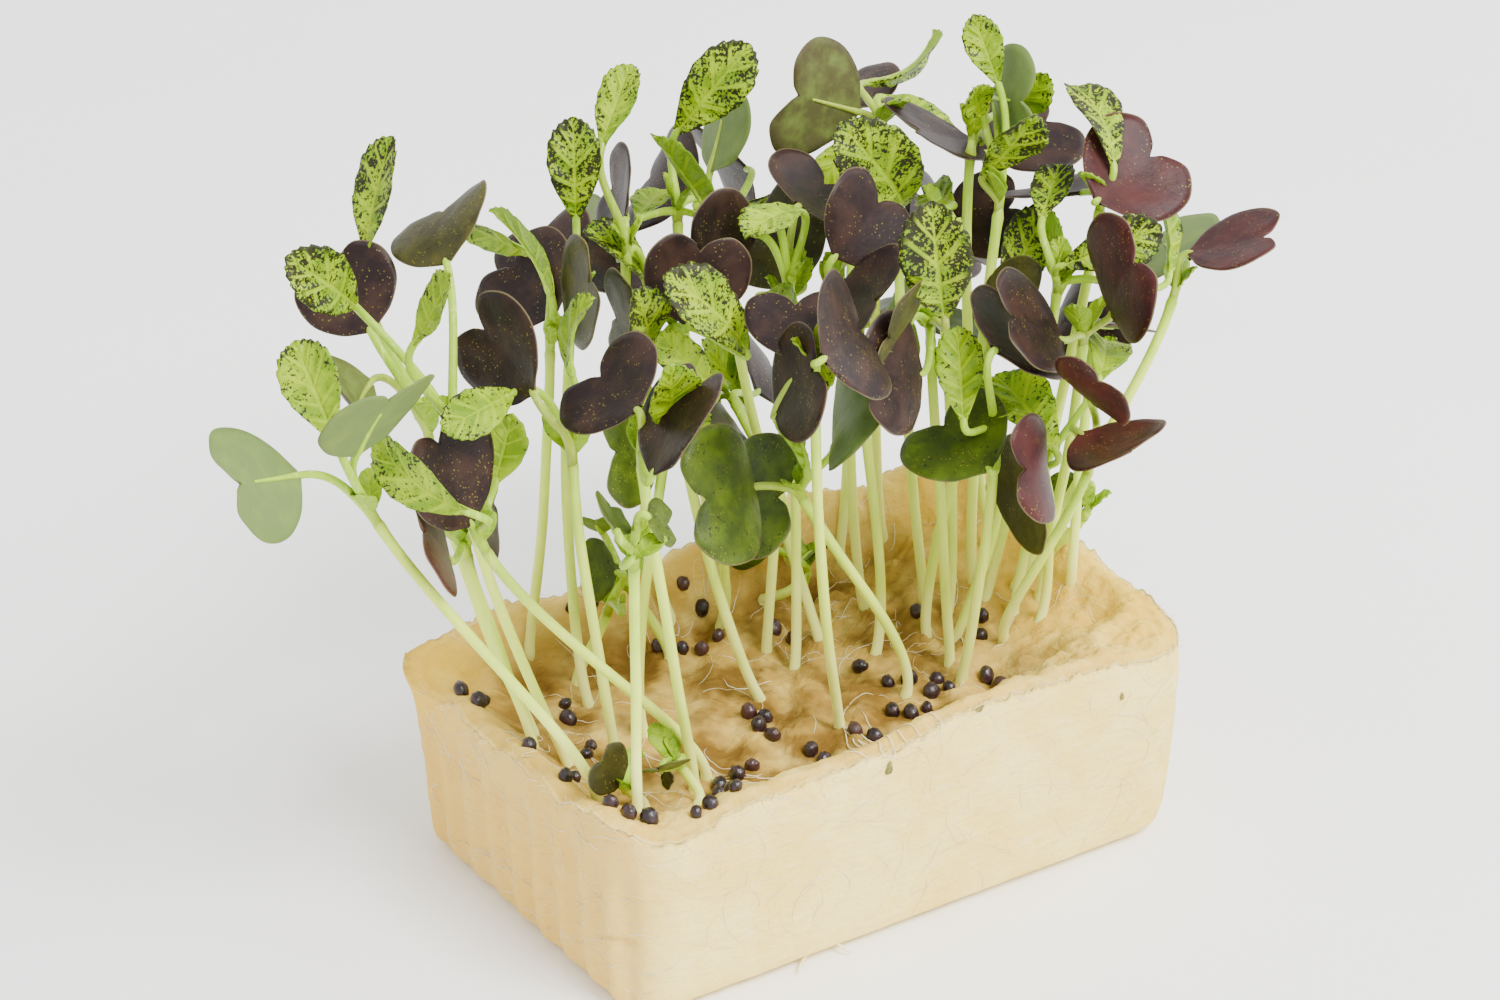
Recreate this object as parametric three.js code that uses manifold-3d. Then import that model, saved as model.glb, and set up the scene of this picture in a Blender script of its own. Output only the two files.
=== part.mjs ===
// Microgreens tray: a moulded block of growing fibre with a torn, raised rim
// and a sunken, lumpy top, sown with young purple mustard plants.
// Millimetres, +Z up. The origin is the middle of the block's flat base,
// +X runs along its long side and +Y across it.
import * as THREE from 'three';
import { mergeVertices } from 'three/addons/utils/BufferGeometryUtils.js';
import Module from 'manifold-3d';

const wasm = await Module();
wasm.setup();

// Growing block
const BLOCK_LENGTH = 88;
const BLOCK_WIDTH = 58;
const CORNER_RADIUS = 9;
const HALF_LENGTH = BLOCK_LENGTH / 2;
const HALF_WIDTH = BLOCK_WIDTH / 2;
const RIM_STEP = 8;
// Steps of the outline along its sides and round its corners
const LONG_STEPS = 9;
const END_STEPS = 5;
const FLUTED_STEPS = 14;
const CORNER_STEPS = 3;
// Rim heights every 8 mm: the long sides from the left end, the ends from the front
const RIM_FRONT = [27.5, 26.5, 28, 29, 28.5, 29, 30.5, 31, 30.5, 30, 28.5, 27.5];
const RIM_BACK = [27, 26.5, 29, 27.5, 28, 28, 29.5, 32.5, 31.5, 29, 30.5, 29];
const RIM_LEFT = [28, 28.5, 26.5, 27.5, 25.5, 27, 26, 27];
const RIM_RIGHT = [27.5, 29, 29.5, 30.5, 31.5, 33, 32, 29.5];
const RIM_TEAR = 0.7;
const RIM_WIDTH = 2;
const WALL_FOOT = 8;
const LIP_REACH = 1.8;
const LIP_SPREAD = 7;
// The outer wall from the base up: height, and how far it lies inside the rim
const WALL_PROFILE = [
  { z: 0, inset: 4.2 },
  { z: 1.6, inset: 1.9 },
  { z: 6, inset: 1.1 },
];
const WALL_TOP_DROP = 5;
const END_FLUTE_PITCH = 5.6;
const END_FLUTE_DEPTH = 0.45;
const BOTTOM_OF_LIP = 0.2;
const TOP_OF_LIP = 0.5;
// The sunken floor, and how far it rises between two places towards the front and the ends
const FLOOR_HEIGHT = 19.5;
const FRONT_SHELF = { rise: 6.5, from: -12, to: -25 };
const RIGHT_SHELF = { rise: 5, from: 20, to: 38 };
const LEFT_SHELF = { rise: 3.5, from: -28, to: -40 };
const LEAST_RIM = 0.8;
// Waves of the fibre on the floor: height, turn per mm along and across
const LONG_WAVE = { high: 0.5, along: 0.42, across: 0.47, start: 1, startAcross: 0.6 };
const SLANT_WAVE = { high: 0.35, along: 0.75, across: -0.6 };
// Inner rings of the sunken top, as shares of the outline's size
const TOP_RINGS = [0.5, 0.25];
// Fibre lumps on the sunken top: place, height and spread
const LUMPS = [
  { at: [33, -18], high: 1.6, spread: 5 },
  { at: [37, 14], high: 2.2, spread: 6 },
  { at: [24, -20], high: 1.2, spread: 4 },
  { at: [-8, -19], high: -1.6, spread: 6 },
  { at: [-36, -20], high: -1.2, spread: 5 },
  { at: [4, 18], high: 1.2, spread: 5 },
];

// Seed husks lying on the top, pressed into it
const HUSK_RADIUS = 1.1;
const HUSK_HEIGHT = 1.2;
const HUSK_SINK = 0.7;
const HUSK_SIDES = 5;
const HUSK_BELLY = 0.4;
const HUSK_FOOT = 0.9;
const PROBE_WIDTH = 0.2;

// Stems and the plain holes they stand in
const STEM_RADIUS_FOOT = 0.85;
const STEM_RADIUS_TOP = 0.68;
const STEM_SIDES = 5;
const STEM_STATIONS = [0, 0.2, 0.55, 1];
const FOOT_DEPTH = 3.6;
// A stem rises straight for a share of its length, up to a limit, then leans towards its crown
const UPRIGHT_SHARE = 0.2;
const UPRIGHT_LIMIT = 7;
const TOP_SHARE = 0.33;
const TOP_LIFT = 0.45;
const BOW_SHARE = 0.9;
const HOLE_DEPTH = 4;
const HOLE_HEIGHT = 7.5;
const HOLE_RADIUS_BOTTOM = 1.25;
const HOLE_RADIUS_TOP = 2.2;
const HOLE_SIDES = 5;

// Leaves
const WAVE_TURN = 9;
const BLADE_THICKNESS = 0.66;
const STALK_WIDTH = 1.1;
const STALK_THICKNESS = 1;
const STALK_SINK = 2.2;
const STALK_EASE = 0.35;
// Stalk sections between the blade and the crown
const STALK_STATIONS = [0.5];
// Half outlines, from the base to the tip: share of the length, share of the half width
const SEED_OUTLINE = [[0, 0.1], [0.14, 0.58], [0.42, 0.95], [0.78, 0.97], [1, 0.58], [0.93, 0.17]];
const TRUE_OUTLINE = [
  [0, 0.14], [0.22, 0.46], [0.38, 0.8], [0.43, 0.7],
  [0.62, 1], [0.68, 0.86], [0.86, 0.78], [0.9, 0.6],
];
const YOUNG_OUTLINE = [[0, 0.2], [0.3, 0.8], [0.65, 1], [0.9, 0.55]];
const LEAF_KINDS = {
  seed: { halfWidth: 0.6, fold: 0.16, wave: 0, outline: SEED_OUTLINE, tip: 0.76, midrib: [0.38] },
  speckled: { halfWidth: 0.29, fold: 0.3, wave: 0.35, outline: TRUE_OUTLINE, tip: 1, midrib: [0.34, 0.7] },
  lime: { halfWidth: 0.28, fold: 0.3, wave: 0.3, outline: TRUE_OUTLINE, tip: 1, midrib: [0.34, 0.7] },
  young: { halfWidth: 0.3, fold: 0.25, wave: 0, outline: YOUNG_OUTLINE, tip: 1, midrib: [0.5] },
};

// Corners closer than this to their neighbours' plane are merged away
const FINISH_TOLERANCE = 0.006;

// Colours
const BLOCK_COLOUR = '#e9d9b4';
const PLANT_COLOURS = ['#5a4148', '#a9c23c', '#6d7a3a'];

// Husks of the sown seed, where they lie on the top
const HUSKS = [
  [-40.5, 12], [-41, 15.5], [-40, 0.5], [-27.5, 12], [-29, 4], [-40.5, -9], [-34.5, -7],
  [-40.5, -19.5], [-39.5, -22], [-37.5, -23.5], [-21, -13.5], [-30, -25.5], [-26, -25],
  [-17, -11.5], [-6, 18.5], [-1, 17.5], [0, 23], [-2, 24.5], [-18.5, 25.5], [6, 15], [-6.5, -2],
  [-8, -6], [-5.5, -11], [1, -11.5], [8.5, -9], [10, -11], [12, -3], [15, -8.5], [18, -5.5],
  [23, -9.5], [11, 2], [23.5, 7], [28.5, -0.5], [27, -2.5],
];

// Each plant: where it is rooted, where its stem ends, how far the stem bows aside, and
// its leaves: the stalk's reach from the crown, the blade's reach from base to tip, the
// blade's roll about that line and how far it curls over, in degrees.
const PLANTS = [
  // far left
  { root: [-38, -12], crown: [-63, -4, 68], bow: [1, -1], leaves: [
    { kind: 'seed', stalk: [-11, -3, 10], blade: [-11, -4, 4], roll: 135, curl: 15 },
    { kind: 'seed', stalk: [-4, -4, 11], blade: [2, -7, 11], roll: -5, curl: 15 },
    { kind: 'lime', stalk: [-6, -3, 13], blade: [1, 11, 8], roll: -30, curl: -5 },
  ] },
  // left low
  { root: [-38, 3], crown: [-45, 6, 53], bow: [0, 1], leaves: [
    { kind: 'seed', stalk: [-8, -10, 6], blade: [-7, -5, 9], roll: -60, curl: 10 },
    { kind: 'seed', stalk: [0, -3, 5], blade: [8, 9, -3], roll: 90, curl: -5 },
  ] },
  // left diagonal
  { root: [-20, -9], crown: [-48, -3, 59], bow: [0, -2], leaves: [
    { kind: 'seed', stalk: [-3, -3, 5], blade: [-3, 3, 13], roll: -20, curl: -10 },
    { kind: 'lime', stalk: [-8, -11, 12], blade: [-6, 10, 7], roll: -90, curl: 60 },
    { kind: 'young', stalk: [4, 3, 6], blade: [2, -1, 9], roll: 75, curl: -25 },
  ] },
  // left tall
  { root: [-35, 8], crown: [-45, 14, 65], bow: [-3, -2], leaves: [
    { kind: 'seed', stalk: [-6, 3, 15], blade: [-1, 8, 7], roll: -40, curl: -50 },
    { kind: 'speckled', stalk: [-3, 9, 22], blade: [6, 3, 13], roll: -20, curl: 10 },
    { kind: 'seed', stalk: [-9, -2, 11], blade: [-7, -11, 2], roll: 120, curl: 45 },
  ] },
  // left lime
  { root: [-34, 1], crown: [-49, 1, 73], bow: [-2, 2], leaves: [
    { kind: 'lime', stalk: [-6, -2, 14], blade: [3, -4, 10], roll: 45, curl: -15 },
    { kind: 'speckled', stalk: [-6, 12, 13], blade: [-10, -2, 10], roll: -85, curl: 45 },
    { kind: 'seed', stalk: [6, 11, 16], blade: [6, 10, 2], roll: -35, curl: 40 },
  ] },
  // left back
  { root: [-26, 24], crown: [-23, 22, 68], bow: [1, 0], leaves: [
    { kind: 'seed', stalk: [2, 2, 3], blade: [0, 12, 3], roll: -45, curl: -10 },
    { kind: 'speckled', stalk: [1, 1, 6], blade: [-4, 8, 10], roll: 55, curl: 40 },
    { kind: 'lime', stalk: [3, 9, 8], blade: [-6, 9, 3], roll: -120, curl: -5 },
    { kind: 'seed', stalk: [2, -1, 3], blade: [0, -7, 10], roll: 75, curl: 0 },
  ] },
  // tall speckled
  { root: [-23, 14], crown: [-17, 26, 71], bow: [-2, 2], leaves: [
    { kind: 'speckled', stalk: [3, 4, 9], blade: [1, 2, 13], roll: -5, curl: 40 },
    { kind: 'seed', stalk: [1, 6, -1], blade: [4, 10, 4], roll: -30, curl: 25 },
    { kind: 'seed', stalk: [5, 6, -2], blade: [10, 6, -1], roll: 15, curl: -10 },
  ] },
  // arching lime
  { root: [-28, -1], crown: [-32, 2, 64], bow: [-1, 0], leaves: [
    { kind: 'lime', stalk: [-11, -5, 14], blade: [-11, -2, -1], roll: -50, curl: 30 },
    { kind: 'seed', stalk: [-10, -8, 15], blade: [-2, 11, 6], roll: -85, curl: -30 },
    { kind: 'lime', stalk: [-1, -2, 12], blade: [2, -2, 11], roll: 25, curl: 60 },
  ] },
  // centre left purple
  { root: [-23, -11], crown: [-34, -17, 73], bow: [0, 0], leaves: [
    { kind: 'seed', stalk: [-1, -1, 7], blade: [1, 12, 0], roll: -40, curl: -15 },
    { kind: 'seed', stalk: [-4, -9, 3], blade: [9, 2, 10], roll: -25, curl: 20 },
    { kind: 'lime', stalk: [2, -2, 5], blade: [-3, -6, 11], roll: -155, curl: 35 },
  ] },
  // centre left speckled
  { root: [-21, 4], crown: [-21, -2, 64], bow: [-2, 0], leaves: [
    { kind: 'speckled', stalk: [2, 9, 8], blade: [-4, -5, 12], roll: -125, curl: 50 },
    { kind: 'lime', stalk: [7, 0, 6], blade: [-6, 3, 8], roll: -90, curl: 30 },
    { kind: 'seed', stalk: [2, 5, -1], blade: [-11, -5, 2], roll: -80, curl: 15 },
  ] },
  // tall left centre
  { root: [-5, 23], crown: [-9, 26, 76], bow: [-2, 2], leaves: [
    { kind: 'speckled', stalk: [4, 1, -9], blade: [-8, 3, 11], roll: -20, curl: 70 },
    { kind: 'seed', stalk: [7, 11, -6], blade: [2, 11, -6], roll: 75, curl: 15 },
    { kind: 'lime', stalk: [-1, 4, 13], blade: [7, 4, 8], roll: -5, curl: 5 },
    { kind: 'seed', stalk: [1, 2, 3], blade: [4, 11, 0], roll: -75, curl: -25 },
  ] },
  // upright lime back
  { root: [3, 24], crown: [3, 33, 75], bow: [0, 2], leaves: [
    { kind: 'speckled', stalk: [2, 3, 10], blade: [8, -5, 12], roll: 75, curl: 40 },
    { kind: 'seed', stalk: [7, 7, -2], blade: [1, 13, -3], roll: -50, curl: 50 },
    { kind: 'lime', stalk: [-6, 0, 1], blade: [8, 7, -1], roll: -5, curl: 5 },
    { kind: 'speckled', stalk: [2, -5, 1], blade: [-8, 1, 13], roll: 15, curl: 15 },
  ] },
  // big purple centre
  { root: [-4, 3], crown: [-13, 9, 73], bow: [-4, 0], leaves: [
    { kind: 'seed', stalk: [-1, -5, 3], blade: [3, 1, 11], roll: 55, curl: -15 },
    { kind: 'speckled', stalk: [3, -12, 1], blade: [-10, 3, 12], roll: -50, curl: 50 },
    { kind: 'seed', stalk: [-4, -2, 0], blade: [1, 12, -1], roll: -90, curl: 10 },
  ] },
  // grey leaf
  { root: [10, 10], crown: [10, 33, 69], bow: [-1, 3], leaves: [
    { kind: 'seed', stalk: [0, 3, 9], blade: [4, 2, 10], roll: 145, curl: 15 },
    { kind: 'seed', stalk: [9, 8, 5], blade: [2, 12, -4], roll: -115, curl: 20 },
    { kind: 'speckled', stalk: [3, 1, 4], blade: [10, -6, 5], roll: 120, curl: 45 },
  ] },
  // olive fold
  { root: [4, 7], crown: [7, 14, 69], bow: [1, 0], leaves: [
    { kind: 'seed', stalk: [4, 2, 1], blade: [0, 11, 7], roll: -40, curl: 45 },
    { kind: 'seed', stalk: [2, 0, 13], blade: [10, 7, -1], roll: 30, curl: -40 },
    { kind: 'lime', stalk: [-5, -2, 3], blade: [-1, -10, 3], roll: 70, curl: -30 },
  ] },
  // lime notched
  { root: [3, 12], crown: [5, 10, 73], bow: [-1, -2], leaves: [
    { kind: 'lime', stalk: [1, -1, 11], blade: [-11, -4, 1], roll: -10, curl: 45 },
    { kind: 'lime', stalk: [-1, 4, 10], blade: [-2, 10, -8], roll: -70, curl: -5 },
    { kind: 'seed', stalk: [-4, 2, 8], blade: [-12, -3, 2], roll: -90, curl: -10 },
  ] },
  // centre front purple
  { root: [12, -7], crown: [-2, -3, 52], bow: [2, -1], leaves: [
    { kind: 'seed', stalk: [3, -3, 7], blade: [2, -8, 11], roll: 45, curl: 60 },
    { kind: 'seed', stalk: [-7, 0, 3], blade: [-13, -5, 4], roll: -65, curl: 55 },
    { kind: 'lime', stalk: [-1, -3, 5], blade: [0, 6, 8], roll: -155, curl: -20 },
  ] },
  // centre purple pair
  { root: [1, -8], crown: [-10, -18, 78], bow: [-2, -1], leaves: [
    { kind: 'seed', stalk: [0, 4, 0], blade: [5, 8, 4], roll: 0, curl: -5 },
    { kind: 'seed', stalk: [-3, -6, 5], blade: [11, 8, -2], roll: 60, curl: 30 },
    { kind: 'seed', stalk: [-3, 4, -7], blade: [2, -7, 10], roll: 60, curl: 5 },
    { kind: 'lime', stalk: [7, 8, 1], blade: [-5, -4, -7], roll: -20, curl: 20 },
  ] },
  // speckled arch top
  { root: [20, 14], crown: [21, 19, 76], bow: [-3, -1], leaves: [
    { kind: 'speckled', stalk: [6, -2, 0], blade: [-12, -3, 16], roll: -105, curl: 80 },
    { kind: 'lime', stalk: [3, 4, 9], blade: [-7, 0, -7], roll: -65, curl: 15 },
    { kind: 'speckled', stalk: [7, 7, -4], blade: [2, 7, 7], roll: 60, curl: -35 },
    { kind: 'lime', stalk: [12, 6, -2], blade: [2, 9, -1], roll: 0, curl: 45 },
  ] },
  // purple top
  { root: [29, 23], crown: [30, 26, 83], bow: [-1, 1], leaves: [
    { kind: 'seed', stalk: [5, 8, -1], blade: [1, 11, -1], roll: -10, curl: 20 },
    { kind: 'seed', stalk: [-1, 4, 1], blade: [-12, -1, 6], roll: 90, curl: 15 },
    { kind: 'speckled', stalk: [4, 9, 2], blade: [12, 2, 4], roll: 130, curl: 70 },
    { kind: 'lime', stalk: [3, 4, 2], blade: [8, -5, -7], roll: 15, curl: 40 },
  ] },
  // dark hood
  { root: [14, 3], crown: [10, 6, 72], bow: [3, 0], leaves: [
    { kind: 'seed', stalk: [-3, -3, 8], blade: [9, 2, 6], roll: 65, curl: 30 },
    { kind: 'seed', stalk: [-5, -6, 5], blade: [-1, -12, 4], roll: 45, curl: -20 },
    { kind: 'lime', stalk: [-4, -1, 1], blade: [9, 4, 11], roll: 110, curl: 15 },
  ] },
  // big speckled
  { root: [21, -4], crown: [19, -1, 68], bow: [0, 0], leaves: [
    { kind: 'speckled', stalk: [-8, -14, 10], blade: [-3, -1, 17], roll: -145, curl: 40 },
    { kind: 'seed', stalk: [-9, -8, 7], blade: [-10, -8, 4], roll: -105, curl: 25 },
    { kind: 'seed', stalk: [-10, -12, 2], blade: [-11, -4, 5], roll: -70, curl: 25 },
  ] },
  // right green tall
  { root: [32, 6], crown: [33, 4, 80], bow: [-3, -1], leaves: [
    { kind: 'lime', stalk: [3, 5, 14], blade: [-2, 3, 9], roll: -65, curl: -5 },
    { kind: 'lime', stalk: [2, 7, 9], blade: [-5, -5, 7], roll: -135, curl: -15 },
    { kind: 'seed', stalk: [7, 11, 9], blade: [-2, -11, 4], roll: -95, curl: -45 },
    { kind: 'speckled', stalk: [-2, 1, 4], blade: [2, -8, 11], roll: 150, curl: 5 },
  ] },
  // right purple edge
  { root: [37, 8], crown: [35, 13, 85], bow: [-3, 1], leaves: [
    { kind: 'seed', stalk: [5, 6, -4], blade: [-12, -1, 6], roll: -10, curl: -15 },
    { kind: 'seed', stalk: [8, 8, -7], blade: [13, 1, 2], roll: 25, curl: -5 },
    { kind: 'lime', stalk: [10, 6, -1], blade: [1, -7, 8], roll: 125, curl: 55 },
  ] },
  // right speckled
  { root: [32, -3], crown: [43, -4, 81], bow: [1, 1], leaves: [
    { kind: 'speckled', stalk: [1, -1, 5], blade: [2, 12, 6], roll: 15, curl: 65 },
    { kind: 'seed', stalk: [-3, -3, 2], blade: [12, 2, 4], roll: 40, curl: -30 },
    { kind: 'seed', stalk: [1, 5, -1], blade: [3, 13, -5], roll: -5, curl: 0 },
  ] },
  // right speckled pair
  { root: [31, 2], crown: [35, -6, 72], bow: [3, 2], leaves: [
    { kind: 'speckled', stalk: [-1, -2, 4], blade: [11, -6, 5], roll: 80, curl: 10 },
    { kind: 'speckled', stalk: [1, 5, 7], blade: [8, 7, 3], roll: -10, curl: 5 },
    { kind: 'lime', stalk: [-1, -1, 2], blade: [6, 12, 1], roll: 80, curl: 45 },
    { kind: 'lime', stalk: [14, -5, 0], blade: [4, 8, 7], roll: 60, curl: 25 },
  ] },
  // right red purple
  { root: [36, -3], crown: [34, -13, 68], bow: [0, -1], leaves: [
    { kind: 'seed', stalk: [2, -3, 4], blade: [-1, -7, 12], roll: 90, curl: 30 },
    { kind: 'seed', stalk: [-5, -2, 2], blade: [-10, -1, 7], roll: -40, curl: 0 },
    { kind: 'seed', stalk: [2, 1, 1], blade: [8, 3, -4], roll: -5, curl: -5 },
  ] },
  // far right
  { root: [35, 1], crown: [54, -6, 66], bow: [-1, -3], leaves: [
    { kind: 'seed', stalk: [2, 0, 5], blade: [8, -8, 4], roll: 5, curl: -10 },
    { kind: 'seed', stalk: [4, 3, 2], blade: [4, 12, -2], roll: 150, curl: 5 },
  ] },
  // right lower pair
  { root: [29, -5], crown: [36, -13, 49], bow: [-3, -2], leaves: [
    { kind: 'seed', stalk: [-9, -11, 17], blade: [-3, -6, 7], roll: 135, curl: 30 },
    { kind: 'seed', stalk: [-5, -4, 8], blade: [1, -11, 3], roll: 10, curl: -55 },
  ] },
  // right lime fork
  { root: [33, -7], crown: [30, -11, 49], bow: [3, 1], leaves: [
    { kind: 'lime', stalk: [-2, -5, 6], blade: [2, 16, 3], roll: -10, curl: 35 },
    { kind: 'seed', stalk: [-5, -7, 5], blade: [-9, -5, 5], roll: -70, curl: 55 },
    { kind: 'lime', stalk: [6, -3, 13], blade: [8, 10, -1], roll: 25, curl: 45 },
  ] },
  // right purple behind
  { root: [39, -6], crown: [43, -3, 55], bow: [-1, -1], leaves: [
    { kind: 'seed', stalk: [1, 6, -1], blade: [8, 0, 6], roll: 0, curl: -10 },
    { kind: 'seed', stalk: [0, 2, 7], blade: [3, 10, -7], roll: -50, curl: 65 },
  ] },
  // right front green
  { root: [20, -8], crown: [22, -11, 57], bow: [0, -2], leaves: [
    { kind: 'seed', stalk: [-5, -6, -1], blade: [0, 12, 2], roll: -30, curl: 20 },
    { kind: 'seed', stalk: [-4, -5, 15], blade: [11, 7, -3], roll: 35, curl: 0 },
    { kind: 'lime', stalk: [-7, -3, 5], blade: [3, 6, 10], roll: -15, curl: -20 },
  ] },
  // right olive
  { root: [24, 0], crown: [29, -3, 45], bow: [1, -2], leaves: [
    { kind: 'seed', stalk: [-4, -4, 1], blade: [-1, -12, 5], roll: 90, curl: -35 },
  ] },
  // right long olive
  { root: [23, 4], crown: [30, 1, 62], bow: [-1, 1], leaves: [
    { kind: 'seed', stalk: [-1, 1, 4], blade: [5, -7, 5], roll: 50, curl: -5 },
    { kind: 'seed', stalk: [8, 11, -7], blade: [4, 12, 0], roll: 5, curl: -10 },
    { kind: 'speckled', stalk: [3, 2, 5], blade: [10, 4, 9], roll: 40, curl: -20 },
  ] },
  // back purple one
  { root: [27, 5], crown: [29, 12, 76], bow: [1, -1], leaves: [
    { kind: 'seed', stalk: [6, 6, -7], blade: [8, 10, -2], roll: 50, curl: 5 },
    { kind: 'seed', stalk: [7, 7, -8], blade: [9, -4, 5], roll: 30, curl: 0 },
    { kind: 'lime', stalk: [4, 2, 0], blade: [3, 10, -3], roll: -35, curl: 15 },
  ] },
  // back purple two
  { root: [26, 9], crown: [28, 19, 70], bow: [-2, -2], leaves: [
    { kind: 'seed', stalk: [7, 8, -2], blade: [0, 12, -4], roll: -50, curl: 15 },
    { kind: 'seed', stalk: [9, 8, -7], blade: [10, 7, -2], roll: 40, curl: -10 },
  ] },
  // centre grey green
  { root: [22, 23], crown: [29, 29, 53], bow: [1, 1], leaves: [
    { kind: 'seed', stalk: [2, 3, -1], blade: [5, 8, -3], roll: -15, curl: -5 },
    { kind: 'seed', stalk: [3, -1, 0], blade: [-1, -10, 5], roll: -110, curl: -10 },
    { kind: 'lime', stalk: [2, 2, 1], blade: [5, 8, 1], roll: -30, curl: 10 },
  ] },
  // left small green
  { root: [-37, -20], crown: [-37, -20, 61], bow: [0, 0], leaves: [
    { kind: 'seed', stalk: [-6, -6, 9], blade: [2, 5, 1], roll: 50, curl: -10 },
    { kind: 'seed', stalk: [-3, -8, 11], blade: [4, 1, -3], roll: 50, curl: -30 },
    { kind: 'young', stalk: [-5, -8, 6], blade: [4, -1, 2], roll: 20, curl: 40 },
  ] },
  // left small two
  { root: [-22, 19], crown: [-18, 17, 31], bow: [0, 0], leaves: [
    { kind: 'seed', stalk: [-2, -5, 8], blade: [-6, -1, 3], roll: -65, curl: -15 },
    { kind: 'young', stalk: [-3, -8, 5], blade: [1, 1, 1], roll: 70, curl: -30 },
    { kind: 'seed', stalk: [1, 0, 2], blade: [0, 3, 2], roll: -15, curl: 0 },
  ] },
  // left small three
  { root: [-9, 17], crown: [-12, 21, 29], bow: [1, 0], leaves: [
    { kind: 'seed', stalk: [-2, 4, 8], blade: [-2, -1, 3], roll: 15, curl: 0 },
    { kind: 'seed', stalk: [2, 1, 4], blade: [1, 1, 2], roll: 90, curl: -5 },
  ] },
  // wall seedling
  { root: [39, 0], crown: [42, -5, 37], bow: [0, 0], leaves: [
    { kind: 'seed', stalk: [2, 3, 2], blade: [-4, 2, -2], roll: -60, curl: -10 },
    { kind: 'seed', stalk: [4, 5, -1], blade: [1, 2, -2], roll: 95, curl: 25 },
  ] },
  // fallen one
  { root: [-31, -12], crown: [-35, -14, 26], bow: [0, 1], leaves: [
    { kind: 'seed', stalk: [-2, -2, 2], blade: [-3, 0, 5], roll: -75, curl: -5 },
    { kind: 'young', stalk: [2, 1, 4], blade: [0, -2, 0], roll: 40, curl: 0 },
  ] },
  // fallen two
  { root: [-25, -15], crown: [-26, -12, 25], bow: [1, 0], leaves: [
    { kind: 'seed', stalk: [-3, -5, 4], blade: [-5, -2, 2], roll: 30, curl: -35 },
    { kind: 'seed', stalk: [-4, -3, 2], blade: [0, -2, -1], roll: 85, curl: 15 },
  ] },
  // centre olive
  { root: [1, 20], crown: [-3, 14, 43], bow: [0, -2], leaves: [
    { kind: 'seed', stalk: [2, 2, 5], blade: [10, 8, -3], roll: 5, curl: -25 },
    { kind: 'seed', stalk: [-3, -4, 3], blade: [4, -12, 5], roll: 55, curl: 20 },
    { kind: 'lime', stalk: [1, 5, 5], blade: [3, 11, 1], roll: 0, curl: 5 },
  ] },
  // centre back lime
  { root: [14, 24], crown: [12, 34, 45], bow: [1, -4], leaves: [
    { kind: 'lime', stalk: [6, 6, -6], blade: [-3, 6, 9], roll: 5, curl: 10 },
    { kind: 'seed', stalk: [1, 5, -3], blade: [-7, -9, 1], roll: -55, curl: 30 },
    { kind: 'seed', stalk: [6, 3, -2], blade: [8, 9, -2], roll: 50, curl: 30 },
  ] },
  // shadow leaf
  { root: [9, 22], crown: [14, 19, 25], bow: [0, -2], leaves: [
    { kind: 'seed', stalk: [-4, 2, 4], blade: [-6, -1, 5], roll: -90, curl: -30 },
    { kind: 'seed', stalk: [-2, -2, 3], blade: [5, 3, -1], roll: 135, curl: -30 },
  ] },
];

const UP = new THREE.Vector3(0, 0, 1);

function vec(list) {
  return new THREE.Vector3(list[0], list[1], list[2] ?? 0);
}

// A repeatable draw between -1 and 1
function draw(seed) {
  const s = Math.sin(seed * 12.9898) * 43758.5453;
  return (s - Math.floor(s)) * 2 - 1;
}

function smooth(a, b, x) {
  const t = Math.min(1, Math.max(0, (x - a) / (b - a)));
  return t * t * (3 - 2 * t);
}

function readRow(row, start, x) {
  const t = (x - start) / RIM_STEP;
  const i = Math.min(row.length - 2, Math.max(0, Math.floor(t)));
  const f = Math.min(1, Math.max(0, t - i));
  return row[i] * (1 - f) + row[i + 1] * f;
}

// The rim's height beside a point: each side counts by its nearness
function rimHeight(x, y) {
  const sides = [
    [HALF_WIDTH + y, readRow(RIM_FRONT, -HALF_LENGTH, x)],
    [HALF_WIDTH - y, readRow(RIM_BACK, -HALF_LENGTH, x)],
    [HALF_LENGTH + x, readRow(RIM_LEFT, 1 - HALF_WIDTH, y)],
    [HALF_LENGTH - x, readRow(RIM_RIGHT, 1 - HALF_WIDTH, y)],
  ];
  let sum = 0;
  let weights = 0;
  for (const [distance, height] of sides) {
    const weight = 1 / Math.max(0.001, distance) ** 2;
    sum += weight * height;
    weights += weight;
  }
  return sum / weights;
}

// Distance of a point inside the rounded outline
function insetAt(x, y) {
  const qx = Math.abs(x) - (HALF_LENGTH - CORNER_RADIUS);
  const qy = Math.abs(y) - (HALF_WIDTH - CORNER_RADIUS);
  const outside = Math.hypot(Math.max(qx, 0), Math.max(qy, 0));
  return CORNER_RADIUS - outside - Math.min(Math.max(qx, qy), 0);
}

// The sunken floor rises to the front shelf and to both ends
function floorHeight(x, y) {
  const rise = (shelf, at) => shelf.rise * smooth(shelf.from, shelf.to, at);
  let z = FLOOR_HEIGHT + rise(FRONT_SHELF, y) + rise(RIGHT_SHELF, x) + rise(LEFT_SHELF, x);
  const { high, along, across, start, startAcross } = LONG_WAVE;
  z += high * Math.sin(along * x + start) * Math.sin(across * y + startAcross);
  z += SLANT_WAVE.high * Math.sin(SLANT_WAVE.along * x + SLANT_WAVE.across * y);
  for (const lump of LUMPS) {
    const r2 = (x - lump.at[0]) ** 2 + (y - lump.at[1]) ** 2;
    z += lump.high * Math.exp(-r2 / lump.spread ** 2);
  }
  return z;
}

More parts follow.
